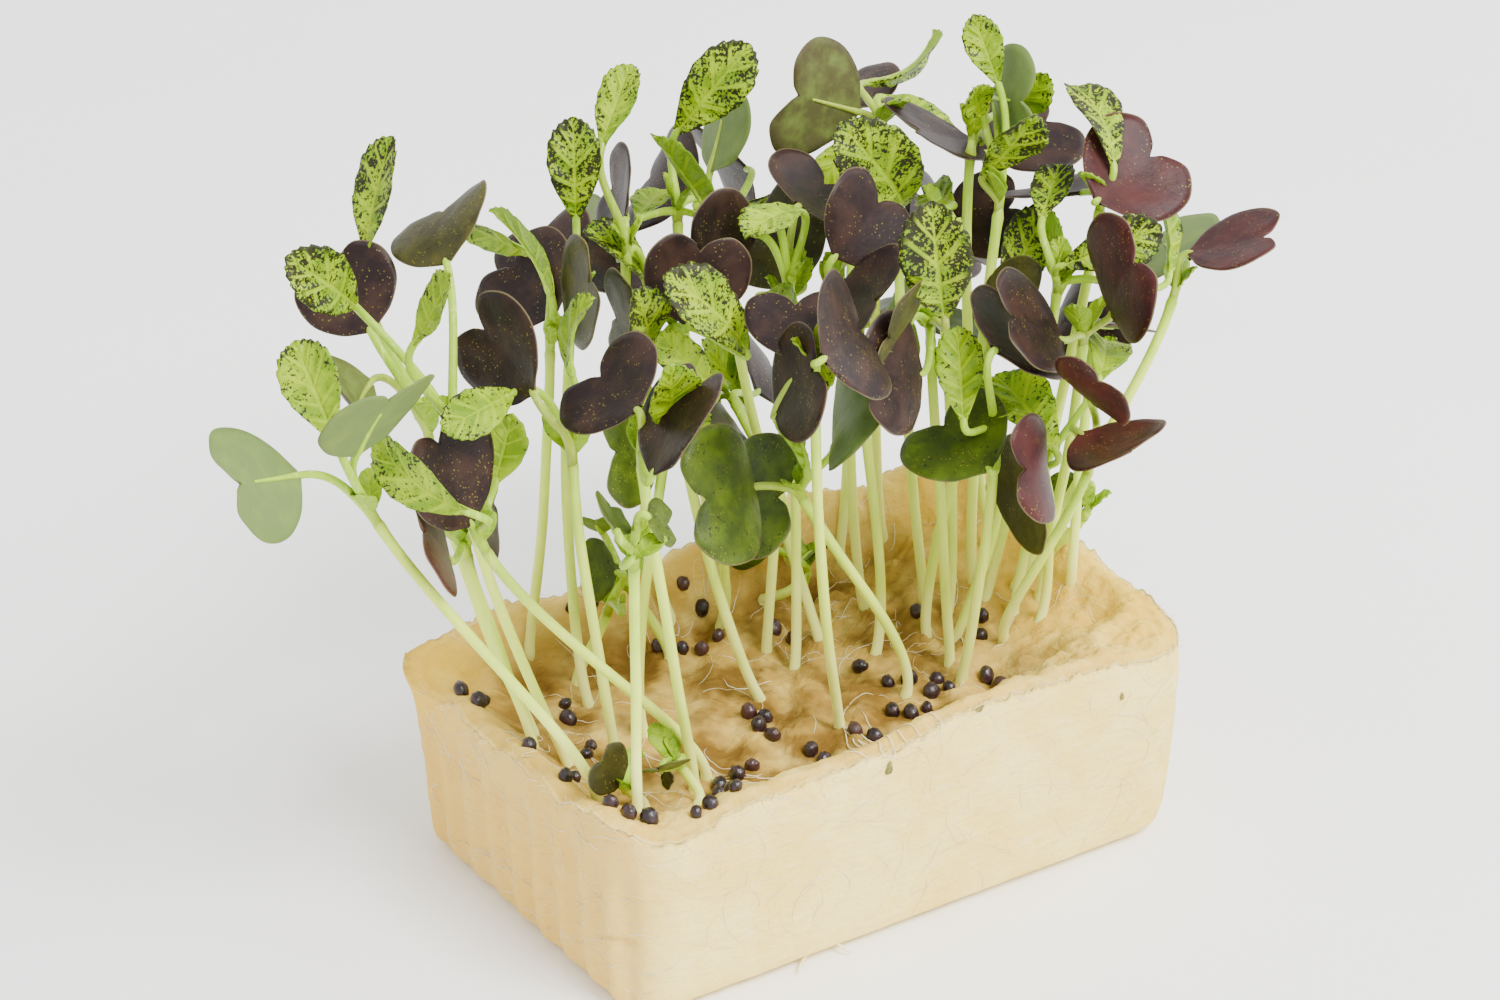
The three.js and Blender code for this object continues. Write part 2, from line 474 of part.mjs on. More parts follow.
function topHeight(x, y) {
  const rim = rimHeight(x, y);
  const floor = Math.min(floorHeight(x, y), rim - LEAST_RIM);
  return floor + (rim - floor) * (1 - smooth(RIM_WIDTH, WALL_FOOT, insetAt(x, y)));
}

// Points round the outline, closer together on the fluted left end
function outlinePoints() {
  const points = [];
  const straightX = HALF_LENGTH - CORNER_RADIUS;
  const straightY = HALF_WIDTH - CORNER_RADIUS;
  const addSide = (from, to, steps) => {
    for (let i = 0; i < steps; i += 1) {
      const t = i / steps;
      points.push([from[0] + (to[0] - from[0]) * t, from[1] + (to[1] - from[1]) * t]);
    }
  };
  const addCorner = (cx, cy, startDeg) => {
    for (let i = 0; i < CORNER_STEPS; i += 1) {
      const a = THREE.MathUtils.degToRad(startDeg + (90 / CORNER_STEPS) * i);
      points.push([cx + CORNER_RADIUS * Math.cos(a), cy + CORNER_RADIUS * Math.sin(a)]);
    }
  };
  addSide([-straightX, -HALF_WIDTH], [straightX, -HALF_WIDTH], LONG_STEPS);
  addCorner(straightX, -straightY, -90);
  addSide([HALF_LENGTH, -straightY], [HALF_LENGTH, straightY], END_STEPS);
  addCorner(straightX, straightY, 0);
  addSide([straightX, HALF_WIDTH], [-straightX, HALF_WIDTH], LONG_STEPS);
  addCorner(-straightX, straightY, 90);
  addSide([-HALF_LENGTH, straightY], [-HALF_LENGTH, -straightY], FLUTED_STEPS);
  addCorner(-straightX, -straightY, 180);
  return points;
}

// Outward direction of the outline at a point on it
function outward(x, y) {
  const cx = Math.min(HALF_LENGTH - CORNER_RADIUS, Math.max(CORNER_RADIUS - HALF_LENGTH, x));
  const cy = Math.min(HALF_WIDTH - CORNER_RADIUS, Math.max(CORNER_RADIUS - HALF_WIDTH, y));
  const length = Math.hypot(x - cx, y - cy) || 1;
  return [(x - cx) / length, (y - cy) / length];
}

// A closed solid from vertices and triangles
function solidFrom(vertices, triangles) {
  const data = new Float32Array(vertices.length * 3);
  vertices.forEach((v, i) => data.set([v.x, v.y, v.z], i * 3));
  const mesh = new wasm.Mesh({
    numProp: 3,
    vertProperties: data,
    triVerts: new Uint32Array(triangles.flat()),
  });
  return new wasm.Manifold(mesh);
}

// Joins equal rings into a closed skin, with a point at each end
function skinRings(first, rings, last) {
  const count = rings[0].length;
  const vertices = [first, ...rings.flat(), last];
  const triangles = [];
  const id = (ring, i) => 1 + ring * count + (i % count);
  for (let i = 0; i < count; i += 1) {
    triangles.push([0, id(0, i + 1), id(0, i)]);
    for (let ring = 0; ring + 1 < rings.length; ring += 1) {
      triangles.push([id(ring, i), id(ring, i + 1), id(ring + 1, i + 1)]);
      triangles.push([id(ring, i), id(ring + 1, i + 1), id(ring + 1, i)]);
    }
    triangles.push([vertices.length - 1, id(rings.length - 1, i), id(rings.length - 1, i + 1)]);
  }
  return solidFrom(vertices, triangles);
}

function blockBody() {
  const outline = outlinePoints();
  const shifted = (x, y, inset) => {
    const [nx, ny] = outward(x, y);
    return [x - nx * inset, y - ny * inset];
  };
  const rings = [];
  for (const { z, inset } of WALL_PROFILE) {
    rings.push(outline.map(([x, y]) => {
      const onEnd = z > 0 && x < 0.5 - HALF_LENGTH;
      const flute = onEnd ? END_FLUTE_DEPTH * (0.5 - 0.5 * Math.cos((2 * Math.PI * y) / END_FLUTE_PITCH)) : 0;
      const [px, py] = shifted(x, y, inset + flute);
      return new THREE.Vector3(px, py, z);
    }));
  }
  const rimAt = (x, y, i) => rimHeight(x, y) + RIM_TEAR * draw(i + 3);
  const lipAt = (x, y) => {
    const r2 = (x + HALF_LENGTH) ** 2 + (y - HALF_WIDTH) ** 2;
    return LIP_REACH * Math.exp(-r2 / LIP_SPREAD ** 2);
  };
  rings.push(outline.map(([x, y], i) => {
    const [px, py] = shifted(x, y, BOTTOM_OF_LIP);
    return new THREE.Vector3(px, py, rimAt(x, y, i) - WALL_TOP_DROP);
  }));
  rings.push(outline.map(([x, y], i) => {
    const [px, py] = shifted(x, y, TOP_OF_LIP - lipAt(x, y));
    return new THREE.Vector3(px, py, rimAt(x, y, i));
  }));
  for (const inset of [RIM_WIDTH, (RIM_WIDTH + WALL_FOOT) / 2, WALL_FOOT]) {
    rings.push(outline.map(([x, y], i) => {
      const [px, py] = shifted(x, y, inset);
      const tear = inset === RIM_WIDTH ? 0.5 * RIM_TEAR * draw(i + 71) : 0;
      return new THREE.Vector3(px, py, topHeight(px, py) + tear);
    }));
  }
  for (const share of TOP_RINGS) {
    rings.push(outline.map(([x, y]) => {
      const px = x * share;
      const py = y * share;
      return new THREE.Vector3(px, py, topHeight(px, py));
    }));
  }
  return skinRings(new THREE.Vector3(0, 0, 0), rings, new THREE.Vector3(0, 0, topHeight(0, 0)));
}

// The top's own height at a point, read off the finished body
function bodyHeight(body, x, y) {
  const probe = new THREE.BoxGeometry(PROBE_WIDTH, PROBE_WIDTH, BLOCK_LENGTH);
  probe.translate(x, y, HALF_LENGTH);
  return body.intersect(fromGeometry(probe)).boundingBox().max[2];
}

function huskSolid(body, x, y, seed) {
  const z = bodyHeight(body, x, y);
  const turn = draw(seed) * Math.PI;
  const ring = (radius, height) => {
    const points = [];
    for (let i = 0; i < HUSK_SIDES; i += 1) {
      const a = turn + (2 * Math.PI * i) / HUSK_SIDES;
      points.push(new THREE.Vector3(x + radius * Math.cos(a), y + radius * Math.sin(a), z + height));
    }
    return points;
  };
  const rings = [ring(HUSK_RADIUS * HUSK_FOOT, -HUSK_SINK), ring(HUSK_RADIUS, HUSK_HEIGHT * HUSK_BELLY)];
  const centre = (height) => new THREE.Vector3(x, y, z + height);
  return skinRings(centre(-HUSK_SINK), rings, centre(HUSK_HEIGHT));
}

// A blind hole that opens out upwards, so that its stem can lean
function holeSolid([x, y]) {
  const deep = topHeight(x, y) - HOLE_DEPTH;
  const shape = new THREE.CylinderGeometry(HOLE_RADIUS_TOP, HOLE_RADIUS_BOTTOM, HOLE_HEIGHT, HOLE_SIDES);
  shape.rotateX(Math.PI / 2);
  shape.translate(x, y, deep + HOLE_HEIGHT / 2);
  return fromGeometry(shape);
}

// Merges a geometry's repeated corners and makes a solid of it
function fromGeometry(geometry) {
  geometry.deleteAttribute('normal');
  geometry.deleteAttribute('uv');
  const merged = mergeVertices(geometry, 1e-4);
  const position = merged.getAttribute('position');
  const vertices = [];
  for (let i = 0; i < position.count; i += 1) {
    vertices.push(new THREE.Vector3().fromBufferAttribute(position, i));
  }
  const index = Array.from(merged.index.array);
  const triangles = [];
  for (let i = 0; i < index.length; i += 3) triangles.push(index.slice(i, i + 3));
  return solidFrom(vertices, triangles);
}

function blockSolid() {
  const body = blockBody();
  const husks = HUSKS.map(([x, y], i) => huskSolid(body, x, y, i + 1));
  const holes = PLANTS.map((plant) => holeSolid(plant.root));
  return wasm.Manifold.union([body, ...husks]).subtract(wasm.Manifold.union(holes));
}

// The stem leaves its hole upright and bends over to its crown
function stemCurve(plant) {
  const foot = new THREE.Vector3(plant.root[0], plant.root[1], topHeight(...plant.root));
  const crown = vec(plant.crown);
  const bow = vec(plant.bow).multiplyScalar(BOW_SHARE);
  const length = foot.distanceTo(crown);
  const low = foot.clone().addScaledVector(UP, Math.min(UPRIGHT_SHARE * length, UPRIGHT_LIMIT)).add(bow);
  const lean = crown.clone().sub(foot).divideScalar(length).addScaledVector(UP, TOP_LIFT).normalize();
  const high = crown.clone().addScaledVector(lean, -TOP_SHARE * length).add(bow);
  return new THREE.CubicBezierCurve3(foot, low, high, crown);
}

function stemSolid(curve) {
  const ringAt = (centre, tangent, radius) => {
    const across = new THREE.Vector3(0, 1, 0).cross(tangent).normalize();
    const along = tangent.clone().cross(across);
    const ring = [];
    for (let i = 0; i < STEM_SIDES; i += 1) {
      const a = (2 * Math.PI * i) / STEM_SIDES;
      ring.push(centre.clone()
        .addScaledVector(across, radius * Math.cos(a))
        .addScaledVector(along, radius * Math.sin(a)));
    }
    return ring;
  };
  const foot = curve.getPoint(0);
  const bottom = foot.clone().addScaledVector(UP, -FOOT_DEPTH);
  const rings = [ringAt(bottom, UP, STEM_RADIUS_FOOT)];
  for (const t of STEM_STATIONS) {
    const radius = STEM_RADIUS_FOOT + (STEM_RADIUS_TOP - STEM_RADIUS_FOOT) * t;
    rings.push(ringAt(curve.getPoint(t), t === 0 ? UP : curve.getTangent(t), radius));
  }
  return skinRings(bottom, rings, curve.getPoint(1));
}

// Where a leaf's blade starts, the way it points and the way it faces
function bladeFrame(plant, leaf) {
  const base = vec(plant.crown).add(vec(leaf.stalk));
  const ahead = vec(leaf.blade);
  const length = ahead.length();
  ahead.divideScalar(length);
  const face = UP.clone().addScaledVector(ahead, -UP.dot(ahead)).normalize();
  face.applyAxisAngle(ahead, THREE.MathUtils.degToRad(leaf.roll));
  return { base, length, ahead, face, side: ahead.clone().cross(face) };
}

// The midrib is an arc over the line from base to tip
function midribAt(frame, curl, u) {
  const k = THREE.MathUtils.degToRad(curl || 1);
  const radius = frame.length / (2 * Math.sin(k / 2));
  const a = k * (u - 0.5);
  const point = frame.base.clone()
    .addScaledVector(frame.ahead, radius * (Math.sin(k / 2) + Math.sin(a)))
    .addScaledVector(frame.face, radius * (Math.cos(a) - Math.cos(k / 2)));
  const normal = frame.face.clone().multiplyScalar(Math.cos(a)).addScaledVector(frame.ahead, Math.sin(a));
  const tangent = frame.ahead.clone().multiplyScalar(Math.cos(a)).addScaledVector(frame.face, -Math.sin(a));
  return { point, normal, tangent };
}

// The corner lists of a blade's left half, right half and the wedge at its base
function bladeFaces(kind) {
  const m = kind.outline.length - 1;
  const midCount = kind.midrib.length;
  // Order: base left, base right, left points, right points, tip, midrib points
  const left = (j) => 2 + j;
  const right = (j) => 2 + m + j;
  const tip = 2 + 2 * m;
  const mid = (j) => tip + 1 + j;
  const flat = [
    [-kind.outline[0][1], 0],
    [kind.outline[0][1], 0],
    ...kind.outline.slice(1).map(([u, v]) => [-v, u]),
    ...kind.outline.slice(1).map(([u, v]) => [v, u]),
    [0, kind.tip],
    ...kind.midrib.map((u) => [0, u]),
  ];
  const steps = [...Array(m).keys()];
  const mids = [...Array(midCount).keys()];
  const leftLoop = [0, ...mids.map(mid), tip, ...steps.map((j) => left(m - 1 - j))];
  const rightLoop = [1, ...steps.map(right), tip, ...mids.map((j) => mid(midCount - 1 - j))];
  const triangles = [[0, 1, mid(0)]];
  for (const loop of [leftLoop, rightLoop]) {
    const contour = loop.map((i) => new THREE.Vector2(flat[i][0] * 0.5, flat[i][1]));
    for (const face of THREE.ShapeUtils.triangulateShape(contour, [])) {
      const corners = face.map((i) => loop[i]);
      const [p, q, r] = face.map((i) => contour[i]);
      const turn = (q.x - p.x) * (r.y - p.y) - (q.y - p.y) * (r.x - p.x);
      triangles.push(turn > 0 ? corners : corners.reverse());
    }
  }
  const edge = [1, ...steps.map(right), tip, ...steps.map((j) => left(m - 1 - j)), 0];
  return { flat, triangles, edge };
}

const FACES = Object.fromEntries(
  Object.entries(LEAF_KINDS).map(([name, kind]) => [name, bladeFaces(kind)]),
);

// A stalk and its blade in one closed skin, with like faces above and below
function leafSolid(plant, leaf, stemCurveEnd, seed) {
  const kind = LEAF_KINDS[leaf.kind];
  const faces = FACES[leaf.kind];
  const frame = bladeFrame(plant, leaf);
  const halfWidth = kind.halfWidth * frame.length;
  const points = faces.flat.map(([v, u]) => {
    const mid = midribAt(frame, leaf.curl, u);
    const rise = Math.abs(v) * (kind.fold * halfWidth + kind.wave * Math.sin(WAVE_TURN * u + seed));
    const centre = mid.point.addScaledVector(frame.side, v * halfWidth).addScaledVector(mid.normal, rise);
    return { centre, normal: mid.normal };
  });
  const half = BLADE_THICKNESS / 2;
  const vertices = [
    ...points.map((p) => p.centre.clone().addScaledVector(p.normal, half)),
    ...points.map((p) => p.centre.clone().addScaledVector(p.normal, -half)),
  ];
  const count = points.length;
  const triangles = [];
  for (const [a, b, c] of faces.triangles) {
    triangles.push([a, b, c], [a + count, c + count, b + count]);
  }
  for (let i = 0; i + 1 < faces.edge.length; i += 1) {
    const p = faces.edge[i];
    const q = faces.edge[i + 1];
    triangles.push([p, p + count, q + count], [p, q + count, q]);
  }
  // Stalk sections from the blade back, then a point sunk into the stem
  const start = midribAt(frame, leaf.curl, 0);
  const crown = vec(plant.crown);
  const gap = frame.base.distanceTo(crown);
  const out = frame.base.clone().sub(crown).normalize().add(stemCurveEnd).normalize();
  const curve = new THREE.CubicBezierCurve3(
    crown,
    crown.clone().addScaledVector(out, STALK_EASE * gap),
    frame.base.clone().addScaledVector(start.tangent, -STALK_EASE * gap),
    frame.base,
  );
  let ahead = [0, 1, 1 + count, count];
  const normal = start.normal.clone();
  for (const t of STALK_STATIONS) {
    const centre = curve.getPoint(t);
    const tangent = curve.getTangent(t);
    normal.addScaledVector(tangent, -normal.dot(tangent)).normalize();
    const side = tangent.clone().cross(normal);
    const first = vertices.length;
    for (const [across, up] of [[-1, 1], [1, 1], [1, -1], [-1, -1]]) {
      vertices.push(centre.clone()
        .addScaledVector(side, (across * STALK_WIDTH) / 2)
        .addScaledVector(normal, (up * STALK_THICKNESS) / 2));
    }
    const behind = [first, first + 1, first + 2, first + 3];
    for (let i = 0; i < 4; i += 1) {
      const j = (i + 1) % 4;
      triangles.push([behind[i], behind[j], ahead[j]], [behind[i], ahead[j], ahead[i]]);
    }
    ahead = behind;
  }
  const root = vertices.length;
  vertices.push(crown.clone().addScaledVector(stemCurveEnd, -STALK_SINK));
  for (let i = 0; i < 4; i += 1) triangles.push([root, ahead[(i + 1) % 4], ahead[i]]);
  return solidFrom(vertices, triangles);
}

function plantSolid(plant, index) {
  const curve = stemCurve(plant);
  const end = curve.getTangent(1);
  const leaves = plant.leaves.map((leaf, i) => leafSolid(plant, leaf, end, index * 3 + i));
  return wasm.Manifold.union([stemSolid(curve), ...leaves]);
}

function meshOf(name, solid, colour) {
  const raw = solid.asOriginal().simplify(FINISH_TOLERANCE).getMesh();
  const geometry = new THREE.BufferGeometry();
  geometry.setAttribute('position', new THREE.BufferAttribute(raw.vertProperties, raw.numProp));
  geometry.setIndex(new THREE.BufferAttribute(raw.triVerts, 1));
  geometry.computeVertexNormals();
  const mesh = new THREE.Mesh(geometry, new THREE.MeshStandardMaterial({ color: colour, roughness: 0.6 }));
  mesh.name = name;
  return mesh;
}

const tray = new THREE.Group();
tray.name = 'microgreens_tray';
tray.add(meshOf('growing_block', blockSolid(), BLOCK_COLOUR));
PLANTS.forEach((plant, i) => {
  const name = `plant_${String(i + 1).padStart(2, '0')}`;
  tray.add(meshOf(name, plantSolid(plant, i), PLANT_COLOURS[i % PLANT_COLOURS.length]));
});

export default tray;
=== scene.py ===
# Dresses the microgreens tray: a block of growing fibre with seed husks, root
# threads and 46 young mustard plants. Sizes are in millimetres until a piece is made.
from collections import namedtuple
import math
from math import cos, sin
import random
import bpy
import numpy as np
from mathutils import Matrix, Vector, noise


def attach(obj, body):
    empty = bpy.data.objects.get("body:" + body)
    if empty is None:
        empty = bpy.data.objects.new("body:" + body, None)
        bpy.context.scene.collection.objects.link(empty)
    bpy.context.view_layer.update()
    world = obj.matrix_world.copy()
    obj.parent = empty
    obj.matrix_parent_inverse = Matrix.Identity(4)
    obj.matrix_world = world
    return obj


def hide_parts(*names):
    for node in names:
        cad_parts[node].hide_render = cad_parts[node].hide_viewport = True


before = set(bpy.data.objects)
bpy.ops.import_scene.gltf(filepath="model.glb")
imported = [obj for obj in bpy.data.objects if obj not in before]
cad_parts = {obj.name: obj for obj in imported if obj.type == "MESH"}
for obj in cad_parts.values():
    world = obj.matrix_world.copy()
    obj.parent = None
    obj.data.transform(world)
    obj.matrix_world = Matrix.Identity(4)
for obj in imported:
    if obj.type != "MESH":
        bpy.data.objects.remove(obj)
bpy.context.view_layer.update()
MM = 0.001
UP = np.array([0.0, 0.0, 1.0])
ASKEW = [0.31, 0.95, 0.05]
draws = random.Random(11)
uniform = draws.uniform
noise.seed_set(11)

# Growing block, with the sizes of its solid
HALF_LENGTH = 44
HALF_WIDTH = 29
CORNER_RADIUS = 9
RIM_STEP = 8
RIM_FRONT = [27.5, 26.5, 28, 29, 28.5, 29, 30.5, 31, 30.5, 30, 28.5, 27.5]
RIM_BACK = [27, 26.5, 29, 27.5, 28, 28, 29.5, 32.5, 31.5, 29, 30.5, 29]
RIM_LEFT = [28, 28.5, 26.5, 27.5, 25.5, 27, 26, 27]
RIM_RIGHT = [27.5, 29, 29.5, 30.5, 31.5, 33, 32, 29.5]
RIM_WIDTH = 2
WALL_FOOT = 8
LIP_REACH = 2.6
LIP_SPREAD = 8
FLOOR_HEIGHT = 19.5
FRONT_SHELF = (6.5, -12, -25)
RIGHT_SHELF = (5, 20, 38)
LEFT_SHELF = (3.5, -28, -40)
LEAST_RIM = 0.8
LEAST_DISTANCE = 0.001
LUMPS = [
    (33, -18, 1.6, 5), (37, 14, 2.2, 6), (24, -20, 1.2, 4),
    (-8, -19, -1.6, 6), (-36, -20, -1.2, 5), (4, 18, 1.2, 5),
]
WALL_HEIGHTS = [0, 0.5, 1.6, 3.5, 6, 22, 30]
WALL_INSETS = [4.6, 3.1, 1.9, 1.35, 1.1, 0.25, 0.3]
LEFT_END = (-40, -43)
FLUTE_PITCH = 5.6
FLUTE_DEPTH = 1.15
FLUTE_FOOT = (0, 3)
FLUTE_HEAD = (17, 25)
NICK = (-23.5, 10.6)
NICK_DEPTH = 1.0
NICK_REACH = (1.9, 0.55)
NICK_BEND = 0.12
OUTLINE_STEPS = 560
WALL_ROWS = 42
ROW_CROWDING = 1.15
SLOPE_ROWS = 22
FLOOR_ROWS = 44
FLOOR_MIDDLE = 0.012
CORNERS = [(1, -1), (1, 1), (-1, 1), (-1, -1)]
STRAIGHT_X = HALF_LENGTH - CORNER_RADIUS
STRAIGHT_Y = HALF_WIDTH - CORNER_RADIUS
QUARTER = math.pi / 2 * CORNER_RADIUS
OUTLINE_PITCH = 4 * (STRAIGHT_X + STRAIGHT_Y + QUARTER) / OUTLINE_STEPS
WALL_PITCH = 0.7

# Lumps and tears of the fibre: height and size
SWELLS = (0.6, 6)
GRAIN = (0.4, 2.2)
CLODS = (1.5, 4.2)
CLODS_FROM = (6, 24)
RIM_WAVES = (0.8, 6)
RIM_TEARS = (0.6, 2.2)
RIM_NOTCHES = (0.8, 1.3)
WALL_WAVES = (0.3, 11)
WALL_GRAIN = (0.16, 2.2)
# The rim's crest: how far in it reaches, how far it drops at once and how fast from there
CREST = (2.2, 0.1, 0.3)

# Where the block's colours lie
RIM_INSIDE = 0.3
# Amber: a painted glow where light shows through the thin wall high at the back left corner; on the right
# shelf it is the fibre's own yellow
CORNER_GLOW_SPREAD = 16
CORNER_GLOW_HEIGHT = (14, 25)
AMBER_RIGHT = 0.62
AMBER_RIGHT_FROM = (20, 38)
# Painted shade: the top is painted dark brown where it lies low in the hollow
HOLLOW_SHADE_FROM = (29, 19)
# Painted shade: the left end of the outer wall, turned away from the key light, is painted darker and
# tanner
END_SHADE_FROM = (-36, -43)

# Fibres, root threads and husks
WALL_FIBRES = 420
FIBRE_LENGTH = (3, 12)
FIBRE_RADIUS = (0.03, 0.07)
FIBRE_TAPER = np.array([0.3, 0.9, 1, 1, 1, 1, 1, 0.9, 0.6, 0.3])
FIBRE_WANDER = 0.25
RIM_HAIRS = 420
HAIR_LENGTH = (0.5, 2.2)
HAIR_RADIUS = (0.025, 0.05)
TOP_THREADS = 120
THREAD_LENGTH = (4, 12)
THREAD_STEPS = 12
THREAD_TAPER = np.array([0.4] + [1] * 9 + [0.7, 0.3])
ROOTLET_TAPER = np.array([1, 1, 0.95, 0.9, 0.8, 0.7, 0.5, 0.25])
HUSK_RADIUS = (0.9, 1.2)
HUSK_TILT = 0.9
HUSK_ROWS = 11
HUSK_SIDES = 16
HUSK_SPACING = (2.3, 3.1)

# Stems
UPRIGHT_SHARE = 0.2
UPRIGHT_LIMIT = 7
TOP_SHARE = 0.33
TOP_LIFT = 0.45
BOW_SHARE = 0.9
FOOT_DEPTH = 2.5
STEM_RADIUS = (0.69, 0.66)
STEM_KINK = 0.45
STEM_SIDES = 12
STEM_STEPS = 34
STALK_SIDES = 10
STALK_STEPS = 16
STALK_EASE = 0.35
STALK_SINK = 1.6
# The stalk's radius along it, and from 1 to 2 along the midrib under the blade
STALK_PLACES = [0, 0.12, 0.5, 1, 1.15, 2]
STALK_RADII = [0.62, 0.6, 0.52, 0.5, 0.36, 0.08]
RIB_SINK = 0.2

# Leaf outlines from the stalk to the tip: share of the length, share of the half width
SEED_OUTLINE = [(0, 0.1), (0.14, 0.58), (0.42, 0.95), (0.78, 0.97), (1, 0.58), (0.93, 0.17), (0.8, 0)]
TRUE_OUTLINE = [(0, 0.14), (0.22, 0.5), (0.4, 0.8), (0.62, 0.97), (0.82, 0.82), (0.95, 0.42), (1, 0)]
YOUNG_OUTLINE = [(0, 0.2), (0.3, 0.8), (0.65, 1), (0.9, 0.55), (1, 0)]
# Each kind: half width, fold, wave of the margin, thickness, teeth a side, tooth depth, veins
# a side, and how far the stalk goes on as its midrib
Leaf = namedtuple("Leaf", "outline half fold wave thick teeth tooth veins rib")
SEED_LEAF = Leaf(SEED_OUTLINE, 0.6, 0.1, 0, 0.45, 0, 0, 4, 0.62)
TRUE_LEAF = Leaf(TRUE_OUTLINE, 0.27, 0.3, 0.35, 0.34, 10, 0.085, 6, 0.86)
YOUNG_LEAF = Leaf(YOUNG_OUTLINE, 0.3, 0.25, 0, 0.34, 5, 0.06, 4, 0.86)
TRUE_KINDS = {"speckled": TRUE_LEAF, "lime": TRUE_LEAF, "young": YOUNG_LEAF}
LEAF_ALONG = 44
LEAF_ACROSS = 8
PUCKER = 0.16
RIPPLE = 0.35
BUD_REACH = (3.4, 6.6)

# Roots over the front rim: where along it, and how far down they reach
HANGING_ROOTS = [(-9, 4), (-7, 7), (-5, 5), (-3, 8), (-1, 5), (2, 4)]
# Rootlets under the front edge: where along it, how far aside and how high they go
ROOTLETS = [(-15, -3.5, 0.4), (-14, 3.5, 0.8)]
# Dry flakes on the front: where along it, their height as a share, their size
FLAKES = [(-6, 0.9, 0.9), (8, 0.96, 0.6), (30, 0.84, 0.5)]
FLAKE_SIDES = 14
FLAKE_DEPTHS = (0.14, -0.1)
# Seed husks on the top: those of the block's solid
HUSKS = [
    (-40.5, 12), (-41, 15.5), (-40, 0.5), (-27.5, 12), (-29, 4), (-40.5, -9), (-34.5, -7),
    (-40.5, -19.5), (-39.5, -22), (-37.5, -23.5), (-21, -13.5), (-30, -25.5), (-26, -25),
    (-17, -11.5), (-6, 18.5), (-1, 17.5), (0, 23), (-2, 24.5), (-18.5, 25.5), (6, 15), (-6.5, -2),
    (-8, -6), (-5.5, -11), (1, -11.5), (8.5, -9), (10, -11), (12, -3), (15, -8.5), (18, -5.5),
    (23, -9.5), (11, 2), (23.5, 7), (28.5, -0.5), (27, -2.5),
]

